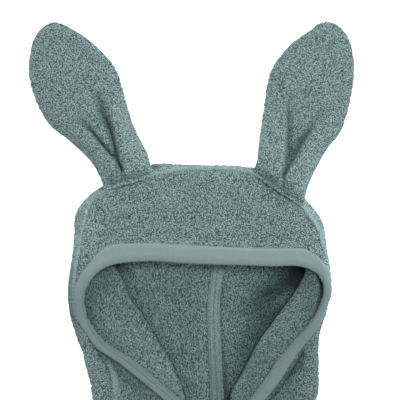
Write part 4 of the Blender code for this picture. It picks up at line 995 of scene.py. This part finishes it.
tape = {
    # y, the middle's x and half the width
    "rows": ((229.0, 13.0, 5.6), (190.0, 13.6, 5.6), (159.0, 13.6, 5.8), (140.0, 11.4, 6.0),
             (123.5, 9.4, 6.2), (104.0, 9.2, 6.2), (84.0, 10.2, 6.3), (50.0, 11.6, 6.5), (25.0, 12.6, 6.8),
             (1.0, 12.0, 6.8)),
    "points": (290, 23),
    "over": 1.9,
    "thick": 0.9,
    "stitch": 3.2,
    # Height, place as a share of half the width, and width
    "ridges": (0.6, 0.42, 0.34),
    "groove": (-0.35, 0.0, 0.12),
    "seams": (1.0, 0.70, 0.10),
    "pulledIn": 0.45,               # depth of the seams, and how much of it a stitch lifts again
    "stitchUp": (0.35, 0.25, 0.3),
    "rim": (0.4, 0.8, 0.2),         # it slopes down by this from here on
    # Painted light and shade: base, highlight on the ridges, shade in the groove and in the gaps
    # between stitches, and darker at the top, at the left edge and low down
    "base": 0.95,
    "ridgeLight": (0.10, 0.42, 0.3),
    "grooveDark": (-0.25, 0.0, 0.1),
    "seamDark": 0.25,
    "topDark": (0.10, 150.0, 12.0),
    "leftDark": (0.08, 0.6, 0.4),
    "lowDark": (0.22, 100.0, 70.0),
}


# The tape over the centre-back seam: two rounded ridges with a groove between, and two lines of
# stitches pulled in. Each is height exp(-((x - place) / width)^2) of the share x across
def tapeGrid():
    rows = np.array(tape["rows"])
    stops = np.arange(len(rows), dtype=float)
    rows = through(rows, stops, np.linspace(0.0, stops[-1], tape["points"][0]))
    y = rows[:, 0:1]
    across = np.linspace(-1.0, 1.0, tape["points"][1])
    x = rows[:, 1:2] + across * rows[:, 2:3]
    beat = np.abs(((y / tape["stitch"]) % 1.0) - 0.5) * 2.0
    seams = mound(np.abs(across), tape["seams"])
    lift, after, over = tape["stitchUp"]
    drop, rimFrom, rimOver = tape["rim"]
    profile = mound(np.abs(across), tape["ridges"]) + mound(across, tape["groove"])
    profile = profile - tape["pulledIn"] * seams + lift * seams * smooth((beat - after) / over)
    profile = profile - drop * smooth((np.abs(across) - rimFrom) / rimOver)
    grid = np.stack(np.broadcast_arrays(x, y, lay["bed"] + tape["over"] + profile), axis=-1)
    # Painted light and shade on the tape
    shade = tape["base"] + mound(np.abs(across), tape["ridgeLight"]) + mound(across, tape["grooveDark"])
    shade = shade - tape["seamDark"] * seams * (1.0 - beat)
    topDark, above, over = tape["topDark"]
    leftDark, leftFrom, leftOver = tape["leftDark"]
    shade = shade - topDark * smooth((y - above) / over) - leftDark * smooth((-across - leftFrom) / leftOver)
    lowDark, below, over = tape["lowDark"]
    return grid, shade * (1.0 - lowDark * smooth((below - y) / over))


grid, shade = tapeGrid()
seamTape = shell("seamTape", channels(grid, shade=shade), smoothCloth(tape["thick"]))
dress(seamTape, tapeCloth, "binding", "seam_tape")


# The strip of a front that is bound, on the cloth: rows down the front, each from the hem of the
# binding to the edge
def stripUp(frontHeight, top, low, sign):
    y = np.arange(top[1] - binding["frontStep"], body["hem"][1] - 0.01, -binding["frontStep"])
    away = binding["width"] * np.linspace(1.0, 0.0, binding["columns"])
    x = edgeLine(y, top, low)[:, None] - sign * away
    level = np.broadcast_to(y[:, None], x.shape)
    marks = np.stack(np.broadcast_arrays(away, binding["width"], 0.0 * x), axis=-1)
    return np.concatenate((np.stack((x, level, frontHeight(x, level)), axis=-1), marks), axis=-1)


# The same strip of the hood, as wide as its table says
def mouthStrip(s, frontHeight, lip):
    width = np.minimum(s["bound"], binding["share"] * s["band"])
    away = width[:, None] * np.linspace(1.0, 0.0, binding["columns"])
    grid = bandGrid(s, frontHeight, away)
    below, over = binding["lipFrom"]
    rolled = lip * smooth((below - s["edgeY"]) / over)[:, None]
    marks = np.stack(np.broadcast_arrays(away, width[:, None], rolled), axis=-1)
    return np.concatenate((grid, marks), axis=-1)


# From a strip on the cloth, the cloth's edge at its end, a ring round it: over it at the height
# off + what its form adds, round the edge on an arc, and back under it at -off
def wrapped(strip):
    grid, away, width, lip = strip[..., :3], strip[..., 3], strip[..., 4], strip[..., 5]
    out = normals(grid)
    out = np.where(out[..., 2:] < 0.0, -out, out)
    ahead = grid[:, -1] - grid[:, -2]
    ahead = ahead / np.linalg.norm(ahead, axis=-1, keepdims=True)
    hem = width - away
    (hemOver, hemStart), (edgeOver, edgeStart) = binding["fromHem"], binding["fromEdge"]
    full = smooth(hem / hemOver + hemStart) * smooth(away / edgeOver + edgeStart)
    rise = binding["off"] + binding["full"] * full
    rise = rise - mound(hem, binding["stitches"]) - mound(hem, binding["drop"])
    rolled = smooth(lip / binding["lipEase"])
    onLip = smooth((lip - away) / binding["lipEase"])
    depth, lineWidth = binding["lipLine"]
    rise = rise - rolled * (depth * bell(away - lip, lineWidth) + binding["lipDrop"] * onLip)
    over = grid + out * rise[..., None]
    under = grid - out * binding["off"]
    first, last, count = binding["turn"]
    angles = np.radians(np.linspace(first, last, count))[None, :, None]
    edge = grid[:, -1:] + ahead[:, None] * binding["out"]
    bend = edge + binding["off"] * (np.cos(angles) * ahead[:, None] + np.sin(angles) * out[:, -1:])
    # Painted shade on the binding, with a painted highlight beside the hem
    lineDark, lineWidth, lipDark = binding["lipShade"]
    shade = 1.0 - rolled * (lineDark * bell(away - lip, lineWidth) + lipDark * onLip)
    edgeDark, edgeWidth = binding["edgeShade"]
    shade = shade - mound(hem, binding["stitchShade"]) - edgeDark * smooth(1.0 - away / edgeWidth)
    shade = shade + mound(hem, binding["hemLight"])
    lowDark, below, easedOver = binding["low"]
    shade = shade * (1.0 - lowDark * smooth((below - grid[..., 1]) / easedOver))
    tail = shade[:, -1:] * np.ones((1, bend.shape[1] + over.shape[1] - 1))
    ring = np.concatenate((over, bend, under[:, -2::-1]), axis=1)
    return np.concatenate((ring, np.concatenate((shade, tail), axis=1)[..., None]), axis=-1)


# The two fronts' strips and the mouth's are one piece
up = wrapped(stripUp(leftHeight, body["leftTop"], body["leftEdge"], 1))[::-1]
mouth = np.concatenate((wrapped(mouthStrip(left, leftHeight, binding["lipLeft"]))[::-1],
                        wrapped(mouthStrip(right, rightHeight, binding["lipRight"]))[1:]))
down = wrapped(stripUp(rightHeight, body["rightTop"], body["rightEdge"], -1))
fine = refine(np.concatenate((up, mouth, down)), binding["spacing"])
edging = shell("binding", channels(fine[..., :3], shade=fine[..., 3]), smoothCloth(binding["thick"]))
dress(edging, bindingCloth, "binding", "binding")
print("tape and binding ready")


# The two edges of each ear, from its seam to its tip: x and y on the left, x and y on the right
leftEar = (
    (-98.5, 232.0, -50.0, 246.5),
    (-102.0, 244.5, -52.0, 256.0),
    (-109.5, 258.0, -55.0, 267.0),
    (-120.5, 270.0, -60.0, 277.0),
    (-136.5, 284.0, -65.5, 288.0),
    (-152.0, 296.5, -71.0, 300.5),
    (-162.0, 311.5, -75.0, 313.5),
    (-168.0, 325.5, -79.0, 326.5),
    (-172.0, 341.0, -83.0, 341.0),
    (-173.0, 355.0, -89.5, 356.0),
    (-171.5, 369.0, -101.0, 369.0),
    (-168.0, 382.0, -115.5, 382.0),
    (-162.0, 390.5, -129.5, 390.5),
    (-157.0, 394.2, -136.0, 394.4),
    (-151.5, 396.6, -142.5, 396.8),
)
rightEar = (
    (47.5, 249.0, 98.0, 215.0),
    (51.0, 258.0, 100.5, 231.0),
    (52.7, 267.0, 107.0, 246.5),
    (54.0, 278.0, 114.0, 260.0),
    (55.5, 290.0, 122.5, 274.0),
    (57.5, 303.5, 134.5, 289.0),
    (59.5, 317.5, 141.0, 305.5),
    (61.0, 329.5, 144.5, 320.5),
    (63.5, 341.0, 147.5, 337.0),
    (67.5, 353.0, 148.5, 352.0),
    (76.5, 366.0, 147.5, 367.0),
    (89.0, 379.0, 144.0, 380.0),
    (104.0, 389.0, 138.0, 389.8),
    (109.5, 394.0, 132.5, 394.4),
    (115.0, 397.2, 126.5, 397.4),
)
ear = {
    "rows": 64,
    "strips": 40,
    "inset": 1.2,           # the outline's middle lies this far inside what the eye sees
    "narrow": 0.3,          # and at most this share of its width
    "even": 0.5,            # the strips' share that are evenly spaced, the others by a cosine
    "puff": (4.2, 4.0, 0.2),        # height, and how fast it comes down to a share of it at the tip
    "hump": (8.0, 0.08, 0.3, 0.5),  # height, rises over this share of the length, falls from and over
    "gap": 2.3,
    "least": 1.0,           # height of the middle of the cloth that lies on the table
    "free": 0.55,           # creases reach this near the edges
    "deepest": -10.0,
    "creaseDark": (0.58, 1.0, 7.0),     # painted shade in a crease, from and over this depth
    # painted light near the seam: how much lighter, and over what distance
    "baseLight": (0.30, 7.0),
    "backSpacing": (2.2, 2.2),
    "tuck": (5.6, 11.0),    # how far its seam lies below the ridge, eased out over this distance
    "drape": ((0.0, 21.4), (10.0, 21.4), (18.0, 20.2), (28.0, 16.6), (40.0, 10.8), (52.0, 6.0),
              (64.0, 2.8), (78.0, 1.15), (92.0, 1.0), (400.0, 1.0)),
    "spacing": (0.95, 0.95),
    "leftCreases": (
        ((-111.0, 345.0, 0.0, 9.0), (-106.4, 328.0, -3.5, 8.0), (-99.9, 308.0, -8.0, 5.5),
         (-93.2, 293.0, -9.0, 4.0), (-89.2, 280.0, -8.5, 3.2), (-85.3, 265.4, -7.5, 3.0),
         (-81.1, 252.2, -6.0, 2.6), (-80.0, 244.0, -2.0, 2.6)),
        ((-98.0, 330.0, 0.0, 9.0), (-90.0, 309.0, 3.0, 7.0), (-83.0, 292.0, 3.6, 6.0),
         (-77.0, 270.0, 2.6, 6.0), (-71.0, 255.0, 0.5, 5.0)),
        ((-136.0, 306.0, 0.0, 9.0), (-118.4, 297.2, -4.5, 6.0), (-110.4, 289.3, -7.0, 3.4),
         (-101.2, 277.3, -8.0, 2.8), (-93.2, 268.1, -7.0, 2.6), (-86.5, 260.1, -5.5, 2.6),
         (-81.1, 252.2, -4.5, 2.6)),
        ((-103.0, 299.0, -1.5, 7.0), (-96.0, 280.0, -3.0, 5.0), (-89.0, 266.0, -3.0, 4.0)),
        ((-126.0, 288.0, 0.0, 6.0), (-112.0, 276.0, 2.4, 6.0), (-100.0, 260.0, 1.6, 6.0)),
        ((-100.0, 238.5, -1.2, 3.0), (-93.0, 239.0, -2.0, 3.0), (-84.0, 241.0, -0.6, 3.0)),
    ),
    "rightCreases": (
        ((83.0, 338.0, 0.0, 9.0), (83.1, 327.4, -2.0, 7.0), (83.1, 308.0, -5.0, 5.0),
         (83.1, 289.8, -6.0, 4.0), (82.0, 270.0, -6.0, 3.6), (80.1, 254.2, -5.5, 3.0),
         (77.5, 246.3, -4.0, 3.0)),
        ((122.0, 316.0, 0.0, 8.0), (113.7, 307.6, -2.5, 6.0), (104.8, 291.8, -6.0, 4.4),
         (94.9, 277.9, -8.5, 4.0), (88.0, 265.0, -9.0, 3.6), (82.1, 254.2, -8.0, 3.2),
         (77.5, 246.3, -6.0, 2.8), (78.1, 240.3, -4.0, 2.8)),
        ((98.0, 308.0, -1.0, 9.0), (91.0, 285.0, -3.5, 7.0), (84.0, 262.0, -3.5, 5.0)),
        ((124.0, 298.0, 0.0, 7.0), (112.0, 283.0, 3.0, 6.0), (103.0, 269.0, 3.4, 6.0),
         (97.0, 254.0, 1.5, 6.0)),
        ((72.0, 320.0, 0.0, 7.0), (72.0, 290.0, 1.8, 6.0), (70.0, 262.0, 1.2, 6.0)),
        ((84.0, 236.0, -0.6, 3.0), (92.0, 230.0, -1.6, 3.0), (98.0, 224.0, -0.6, 3.0)),
    ),
}


# The two faces of an ear on a grid between its edges. The lower one drapes from the seam to the
# table, the upper one stands over it by gap + puff sqrt(dome) + hump dome, dome = 4 x (1 - x)
def earSides(outline):
    table = np.array(outline)
    stops = np.arange(len(table), dtype=float)
    edges = through(table, stops, np.linspace(0.0, stops[-1], ear["rows"]))
    width = np.maximum(np.linalg.norm(edges[:, 2:] - edges[:, :2], axis=-1, keepdims=True), 1.0)
    inward = (edges[:, 2:] - edges[:, :2]) / width * np.minimum(ear["inset"], ear["narrow"] * width)
    edges = edges + np.concatenate((inward, -inward), axis=-1)
    even = np.linspace(0.0, 1.0, ear["strips"] + 1)
    rounded = 0.5 * (1.0 - np.cos(even * math.pi))
    across = ((1.0 - ear["even"]) * rounded + ear["even"] * even)[None, :, None]
    plan = edges[:, None, :2] + (edges[:, None, 2:] - edges[:, None, :2]) * across
    distance = np.linalg.norm(plan - plan[:1], axis=-1)
    drape = np.array(ear["drape"])
    height = through(drape[:, 1:], drape[:, 0], distance.ravel()).reshape(distance.shape)
    tuck, over = ear["tuck"]
    height = np.maximum(height, ear["least"]) - tuck * (1.0 - smooth(distance / over))
    share = np.linspace(0.0, 1.0, ear["rows"])[:, None]
    dome = 4.0 * across[..., 0] * (1.0 - across[..., 0])
    puff, slope, atTip = ear["puff"]
    swell = puff * np.sqrt(dome) * np.minimum(1.0, slope * (1.0 - share) + atTip)
    hump, rises, falls, over = ear["hump"]
    hump = hump * dome * smooth(share / rises) * (1.0 - smooth((share - falls) / over))
    top = height + ear["gap"] + swell + hump
    free = dome * np.ones_like(share)
    lower = np.concatenate((plan, height[..., None]), axis=-1)
    upper = np.concatenate((plan, np.stack((top, free, distance), axis=-1)), axis=-1)
    return lower, upper


def earPieces(side, outline, lines, weave):
    lower, upper = earSides(outline)
    upper = refine(upper, ear["spacing"])
    grid = upper[..., :3].copy()
    moved = creases(grid[..., :2], lines) * smooth(upper[..., 3] / ear["free"])
    grid[..., 2] += np.maximum(moved, ear["deepest"])
    # Painted shade in the creases and painted light near the seam
    dark, start, over = ear["creaseDark"]
    light, lightWidth = ear["baseLight"]
    shade = (1.0 - dark * smooth((-moved - start) / over)) * (1.0 + light * bell(upper[..., 4], lightWidth))
    name = "ear" + side
    top = shell(name + "Front", channels(grid, shade=shade), terryCloth, weave)
    dress(top, terry, "terry", "ear_" + side.lower() + "_front")
    bottom = shell(name + "Back", channels(refine(lower, ear["backSpacing"])), plainCloth)
    dress(bottom, terry, "terry", "ear_" + side.lower() + "_back")
    return top, bottom


earLeftFront, earLeftBack = earPieces("Left", leftEar, ear["leftCreases"], weaves["ears"])
earRightFront, earRightBack = earPieces("Right", rightEar, ear["rightCreases"], weaves["ears"])
print("ears ready")


# The panels of the body: flat, but for a few soft folds
bodyLook = {
    "spacing": (4.0, 4.0),
    "rows": (-62.0, 6.0),           # the first level row, and the spacing of the others
    "columns": (81, 56),            # of the back and of a front
    # The cloth is free to rise outside the belt, past the side seam and over the hem: the distance
    # where that starts and the one it is eased in over
    "freeFromBelt": (20.0, 14.0),
    "freeFromSide": (3.0, 18.0),
    "freeFromHem": (-2.4, 6.0),
    "freeLeft": (-45.0, 12.0),
    "freeRight": (-14.0, 14.0),
    # Soft folds: x, y, height, width
    "leftFolds": (
        ((-142.0, -60.0, 0.0, 8.0), (-120.0, -110.0, 2.0, 10.0), (-112.0, -170.0, 0.0, 9.0)),
        ((-96.0, -262.0, 0.0, 7.0), (-104.0, -330.0, 2.4, 10.0), (-122.0, -460.0, 1.6, 14.0),
         (-128.0, -540.0, 0.8, 14.0)),
        ((-60.0, -266.0, 0.0, 6.0), (-62.0, -340.0, -1.4, 9.0), (-74.0, -440.0, 0.0, 12.0)),
        ((-150.0, -190.0, 0.0, 8.0), (-146.0, -225.0, 1.4, 8.0), (-140.0, -236.0, 0.0, 7.0)),
    ),
    "rightFolds": (
        ((144.0, -64.0, 0.0, 8.0), (124.0, -116.0, 2.0, 10.0), (118.0, -176.0, 0.0, 9.0)),
        ((112.0, -264.0, 0.0, 7.0), (120.0, -340.0, 2.4, 10.0), (138.0, -450.0, 1.4, 14.0),
         (142.0, -540.0, 0.8, 14.0)),
        ((70.0, -268.0, 0.0, 6.0), (74.0, -350.0, 1.8, 9.0), (84.0, -470.0, 0.8, 14.0)),
        ((30.0, -60.0, 0.0, 8.0), (52.0, -130.0, 1.2, 10.0), (60.0, -210.0, 0.0, 9.0)),
    ),
}


# x of the side, straight from corner to corner
def sideLine(y):
    corners = (body["shoulder"], body["underarm"], body["hem"])
    return np.interp(-y, [-corner[1] for corner in corners], [corner[0] for corner in corners])


# Plan of a flat panel: its first row follows the corners from the shoulder to the edge, the others
# run level, and each column goes from the side line (outer) to the inner line
def panel(corners, outer, inner, columns):
    first, step = bodyLook["rows"]
    y = np.concatenate(([corners[0][1]], np.arange(first, body["hem"][1] + 0.1, -step), [body["hem"][1]]))
    share = np.linspace(0.0, 1.0, columns)
    start = outer(y[:1])[0]
    end = inner(np.array([corners[-1][1]]))[0]
    topX = start + (end - start) * share
    line = np.array(sorted(corners))
    top = np.stack((topX, np.interp(topX, line[:, 0], line[:, 1])), axis=-1)
    low = outer(y[1:])[:, None] + (inner(y[1:]) - outer(y[1:]))[:, None] * share
    level = np.stack((low, np.broadcast_to(y[1:, None], low.shape)), axis=-1)
    return np.concatenate((top[None], level))


def panelPiece(name, plan, height, lines, keep, node):
    plan = refine(plan, bodyLook["spacing"], straight=True)
    z = height(plan[..., 0], plan[..., 1])
    z = z + creases(plan, lines) * keep(plan[..., 0], plan[..., 1])
    piece = shell(name, channels(np.concatenate((plan, z[..., None]), axis=-1)), plainCloth)
    return dress(piece, terry, "terry", node)


# How free the cloth is to rise: not under the belt, and not at the sewn edges
def free(x, y):
    (beltFrom, beltOver), (sideFrom, sideOver) = bodyLook["freeFromBelt"], bodyLook["freeFromSide"]
    hemFrom, hemOver = bodyLook["freeFromHem"]
    beside = smooth((np.abs(y - belt["y"]) - beltFrom) / beltOver)
    inside = smooth((sideLine(y) - np.abs(x) - sideFrom) / sideOver)
    return beside * inside * smooth((y - body["hem"][1] - hemFrom) / hemOver)


def freeLeft(x, y):
    start, over = bodyLook["freeLeft"]
    return free(x, y) * smooth((start - x) / over)


def freeRight(x, y):
    start, over = bodyLook["freeRight"]
    return free(x, y) * smooth((x - start) / over)


def otherSide(y):
    return -sideLine(y)


def leftEdge(y):
    return edgeLine(y, body["leftTop"], body["leftEdge"])


def rightEdge(y):
    return edgeLine(y, body["rightTop"], body["rightEdge"])


shoulder, neck = body["shoulder"], body["neckHalf"]
leftShoulder = (-shoulder[0], shoulder[1])
seam = lay["seamGap"]
backPlan = panel((leftShoulder, (-neck, -seam / 2), (neck, -seam / 2), shoulder), otherSide, sideLine,
                 bodyLook["columns"][0])
backPanel = panelPiece("backPanel", backPlan, backHeight, (), free, "back")
leftPlan = panel((leftShoulder, (-neck, -seam), body["leftTop"]), otherSide, leftEdge,
                 bodyLook["columns"][1])
frontLeft = panelPiece("frontLeft", leftPlan, leftHeight, bodyLook["leftFolds"], freeLeft, "front_left")
rightPlan = panel((shoulder, (neck, -seam), body["rightTop"]), sideLine, rightEdge,
                  bodyLook["columns"][1])
frontRight = panelPiece("frontRight", rightPlan, rightHeight, bodyLook["rightFolds"], freeRight,
                        "front_right")


# Sleeves: flat tubes. A ring's places run along the lower layer, round a half circle, back along
# the upper layer and round the other one
sleeve = {
    "length": 300.0,
    "angle": 52.0,
    "cuff": 115.0,
    "flat": 22,
    "round": 5,
    "rows": 80,
    "spread": (0.4, 0.3),           # it is this much thicker past this share of its length
    "ease": 14.0,                   # folds are eased out this near its edges
    "folds": (((172.0, -52.0, 0.0, 8.0), (196.0, -96.0, 2.2, 10.0), (236.0, -140.0, 0.6, 10.0)),
              ((186.0, -150.0, 0.0, 7.0), (214.0, -170.0, 2.4, 8.0), (250.0, -186.0, 0.0, 8.0)),
              ((246.0, -110.0, 0.0, 9.0), (270.0, -160.0, 1.8, 10.0), (296.0, -200.0, 0.0, 9.0))),
}


def sleevePiece(name, sign, node):
    angle = math.radians(sleeve["angle"])
    out = np.array((math.cos(angle), -math.sin(angle)))
    over = np.array((-math.sin(angle), -math.cos(angle)))
    upper = np.array((body["shoulder"][0] + lay["seamGap"], body["shoulder"][1]))
    lower = np.array((body["underarm"][0] + lay["seamGap"], body["underarm"][1]))
    upperEnd = upper + out * sleeve["length"]
    lowerEnd = upperEnd + over * sleeve["cuff"]
    share = np.linspace(0.0, 1.0, sleeve["rows"])[:, None]
    a = upper + (upperEnd - upper) * share
    b = lower + (lowerEnd - lower) * share
    width = np.linalg.norm(b - a, axis=-1)
    step = (b - a) / width[:, None]
    spread, over = sleeve["spread"]
    half = lay["layer"] / 2 + spread * smooth(share[:, 0] / over)
    flat = np.linspace(0.0, 1.0, sleeve["flat"])
    turn = np.linspace(0.0, math.pi, sleeve["round"] + 2)[1:-1]
    h, w = half[:, None], width[:, None]
    place = np.concatenate((h + (w - 2 * h) * flat, w - h + h * np.sin(turn),
                            w - h - (w - 2 * h) * flat, h - h * np.sin(turn)), axis=1)
    height = np.concatenate((0 * h + 0 * flat, h - h * np.cos(turn),
                             2 * h + 0 * flat, h + h * np.cos(turn)), axis=1)
    plan = a[:, None] + step[:, None] * place[..., None]
    above = smooth(height / (2 * h)) * smooth(place / sleeve["ease"]) * smooth((w - place) / sleeve["ease"])
    z = lay["bed"] + height + creases(plan, sleeve["folds"]) * above
    grid = np.stack((sign * plan[..., 0], plan[..., 1], z), axis=-1)
    piece = shell(name, channels(grid), plainCloth, closed=True)
    return dress(piece, terry, "terry", node)


sleeveLeft = sleevePiece("sleeveLeft", -1, "sleeve_left")
sleeveRight = sleevePiece("sleeveRight", 1, "sleeve_right")
print("body and sleeves ready")


beltForm = {
    "turn": 3.0,            # it turns over this far outside the sides,
    "bulge": 4.0,           # and bulges this much further
    "underPoints": 9,
    "columns": 15,
    "spacing": (2.2, 3.0),
    "edge": (-40.0, -33.9), # from the first x on it is as high as at the second, on the right front
    # x and extra height of its path over the top, from the right
    "top": ((125.0, 0.0), (100.0, 0.4), (93.0, 0.4), (86.0, 0.4), (79.0, 0.4), (72.0, 0.4), (20.0, 0.4),
            (-12.0, 0.4), (-18.0, 1.6), (-36.0, 1.6), (-54.0, 0.4), (-90.0, 0.0), (-130.0, 0.0)),
}


# The belt round the waist, as one ring: between the layers at the back, and over the fronts
def beltRing():
    middle = belt["y"]
    turn = float(sideLine(np.array(middle))) + beltForm["turn"]
    half = (belt["thick"] / 2 + float(topHeight(turn, middle)) + belt["over"]) / 2
    under = [(x, belt["thick"] / 2) for x in np.linspace(-turn, turn, beltForm["underPoints"])]
    start, onRight = beltForm["edge"]
    over = []
    for x, extra in ((turn, 0.0),) + beltForm["top"] + ((-turn, 0.0),):
        at = max(x, onRight) if x > start else x
        over.append((x, float(topHeight(at, middle)) + belt["over"] + extra))
    outside = turn + beltForm["bulge"]
    path = np.array(under + [(outside, half)] + over + [(-outside, half)] + under[:1])
    y = np.linspace(middle - belt["width"] / 2, middle + belt["width"] / 2, beltForm["columns"])
    ring = np.stack(np.broadcast_arrays(path[None, :, 0], y[:, None], path[None, :, 1]), axis=-1)
    return refine(ring, beltForm["spacing"], straight=True)[:, :-1]


beltWaist = shell("beltWaist", channels(beltRing()), beltCloth, closed=True)
dress(beltWaist, terry, "terry", "belt_waist")

knot = {
    "x": 18.0,
    "size": (42.0, 38.0, 15.0),
    "power": 2.8,           # how square it is
    "points": (30, 48),
    "poles": 0.04,          # its two ends come together to this angle, in radians
    "over": 0.4,
    "full": 0.94,
    "dents": (0.10, 0.42, 0.10),    # on either side of the band over its middle
}


# Knot: a rounded block, |x/a|^p + |y/b|^p + |z/c|^p = 1, with a band that passes over its middle
def knotBlock():
    sizes = np.array(knot["size"]) / 2
    rows, columns = knot["points"]
    theta = np.linspace(knot["poles"], math.pi - knot["poles"], rows)[:, None]
    phi = np.linspace(0.0, 2 * math.pi, columns + 1)[None, :-1]
    unit = (np.cos(theta), np.sin(theta) * np.cos(phi), np.sin(theta) * np.sin(phi))
    unit = np.stack(np.broadcast_arrays(*unit), axis=-1)
    reach = (np.abs(unit) ** knot["power"]).sum(axis=-1, keepdims=True) ** (-1 / knot["power"])
    block = unit * reach * sizes * (knot["full"] - mound(np.abs(unit[..., :1] * reach), knot["dents"]))
    low = float(topHeight(knot["x"], belt["y"])) + belt["over"] + knot["over"] + belt["thick"] / 2
    return block + np.array((knot["x"], belt["y"], low + lay["seamGap"] + sizes[2]))


beltKnot = shell("beltKnot", channels(knotBlock()), knotCloth, closed=True)
dress(beltKnot, terry, "terry", "belt_knot")

tails = {"start": -263.0, "end": -490.0, "apart": 15.0, "drift": 4.0, "width": 0.9, "points": (76, 11)}


# A tail from under the knot, drifting outward by drift along its length
def tailPiece(name, sign, node):
    rows, columns = tails["points"]
    y = np.linspace(tails["start"], tails["end"], rows)[:, None]
    share = (tails["start"] - y) / (tails["start"] - tails["end"])
    across = np.linspace(-tails["width"] / 2, tails["width"] / 2, columns)[None, :] * belt["width"]
    x = knot["x"] + sign * (tails["apart"] + tails["drift"] * share) + across
    y = np.broadcast_to(y, x.shape)
    grid = np.stack((x, y, topHeight(x, y) + belt["over"]), axis=-1)
    return dress(shell(name, channels(grid), beltCloth), terry, "terry", node)


beltTailLeft = tailPiece("beltTailLeft", -1, "belt_tail_left")
beltTailRight = tailPiece("beltTailRight", 1, "belt_tail_right")

loop = {
    "cloth": 1.0,
    "thick": 1.4,           # what it takes up
    "width": 9.0,
    "half": 34.0,           # half its length
    "in": 16.0,             # distance from the side
    "points": (46, 7),
    "hop": (1.5, 6.5),      # it comes down from this far beside the belt, over this distance
    "under": 1.1,           # half the cloth it is sewn to
}


# A belt loop: flat on the front, and over the belt by the belt's thickness
def loopPiece(name, sign, node):
    rows, columns = loop["points"]
    x = sign * (float(sideLine(np.array(belt["y"]))) - loop["in"])
    y = belt["y"] + np.linspace(-loop["half"], loop["half"], rows)[:, None]
    away = np.abs(y - belt["y"]) - belt["width"] / 2
    hop = 1.0 - smooth((away - loop["hop"][0]) / loop["hop"][1])
    across = np.linspace(-0.5, 0.5, columns)[None, :] * loop["width"]
    x, y = np.broadcast_arrays(x + across, y)
    z = topHeight(x, y) + loop["under"] + 2 * lay["seamGap"] + loop["thick"] / 2
    z = z + hop * (belt["thick"] + lay["seamGap"])
    grid = np.stack((x, y, z), axis=-1)
    return dress(shell(name, channels(grid), smoothCloth(loop["cloth"])), terry, "terry", node)


beltLoopLeft = loopPiece("beltLoopLeft", -1, "belt_loop_left")
beltLoopRight = loopPiece("beltLoopRight", 1, "belt_loop_right")
print("belt ready")


# Table, light and camera, in metres and watts
stage = {
    "table": 6.0,           # half its side
    "below": -0.0006,
    "white": (0.92, 0.92, 0.92, 1.0),
    "glow": 0.95,
    "sky": 0.50,
    "lampSize": 1.3,
    "lampEnergy": 38.0,
    "lampAt": (0.75, 1.25, 1.9),
    "lampAim": (0.0, 0.28, 0.0),
    "cameraAt": (-0.00396, 0.3032, 3.0),
    "seen": 0.3956,         # width of what the camera sees of the table
    "sensor": 36.0,
}

white = bpy.data.materials.new("whiteTable")
white.use_nodes = True
shader = white.node_tree.nodes["Principled BSDF"]
shader.inputs["Base Color"].default_value = stage["white"]
shader.inputs["Roughness"].default_value = 0.9
shader.inputs["Emission Color"].default_value = (1.0, 1.0, 1.0, 1.0)
shader.inputs["Emission Strength"].default_value = stage["glow"]
half, below = stage["table"], stage["below"]
table = bpy.data.meshes.new("table")
table.from_pydata([(-half, -half, below), (half, -half, below), (half, half, below), (-half, half, below)],
                  [], [(0, 1, 2, 3)])
floor = bpy.data.objects.new("table", table)
table.materials.append(white)
bpy.context.scene.collection.objects.link(floor)

world = bpy.data.worlds.new("world")
bpy.context.scene.world = world
world.use_nodes = True
world.node_tree.nodes["Background"].inputs["Color"].default_value = (1.0, 1.0, 1.0, 1.0)
world.node_tree.nodes["Background"].inputs["Strength"].default_value = stage["sky"]

lamp = bpy.data.lights.new("window", "AREA")
lamp.shape = "DISK"
lamp.size = stage["lampSize"]
lamp.energy = stage["lampEnergy"]
lampObject = bpy.data.objects.new("window", lamp)
lampObject.location = stage["lampAt"]
aim = np.array(stage["lampAim"]) - np.array(lampObject.location)
lampObject.rotation_euler = mathutils.Vector(aim).to_track_quat("-Z", "Y").to_euler()
bpy.context.scene.collection.objects.link(lampObject)

camera = bpy.data.cameras.new("camera")
camera.sensor_width = stage["sensor"]
camera.lens = stage["sensor"] * stage["cameraAt"][2] / stage["seen"]
cameraObject = bpy.data.objects.new("camera", camera)
cameraObject.location = stage["cameraAt"]
bpy.context.scene.collection.objects.link(cameraObject)
bpy.context.scene.camera = cameraObject
bpy.context.scene.view_settings.view_transform = "Standard"
print("stage ready")
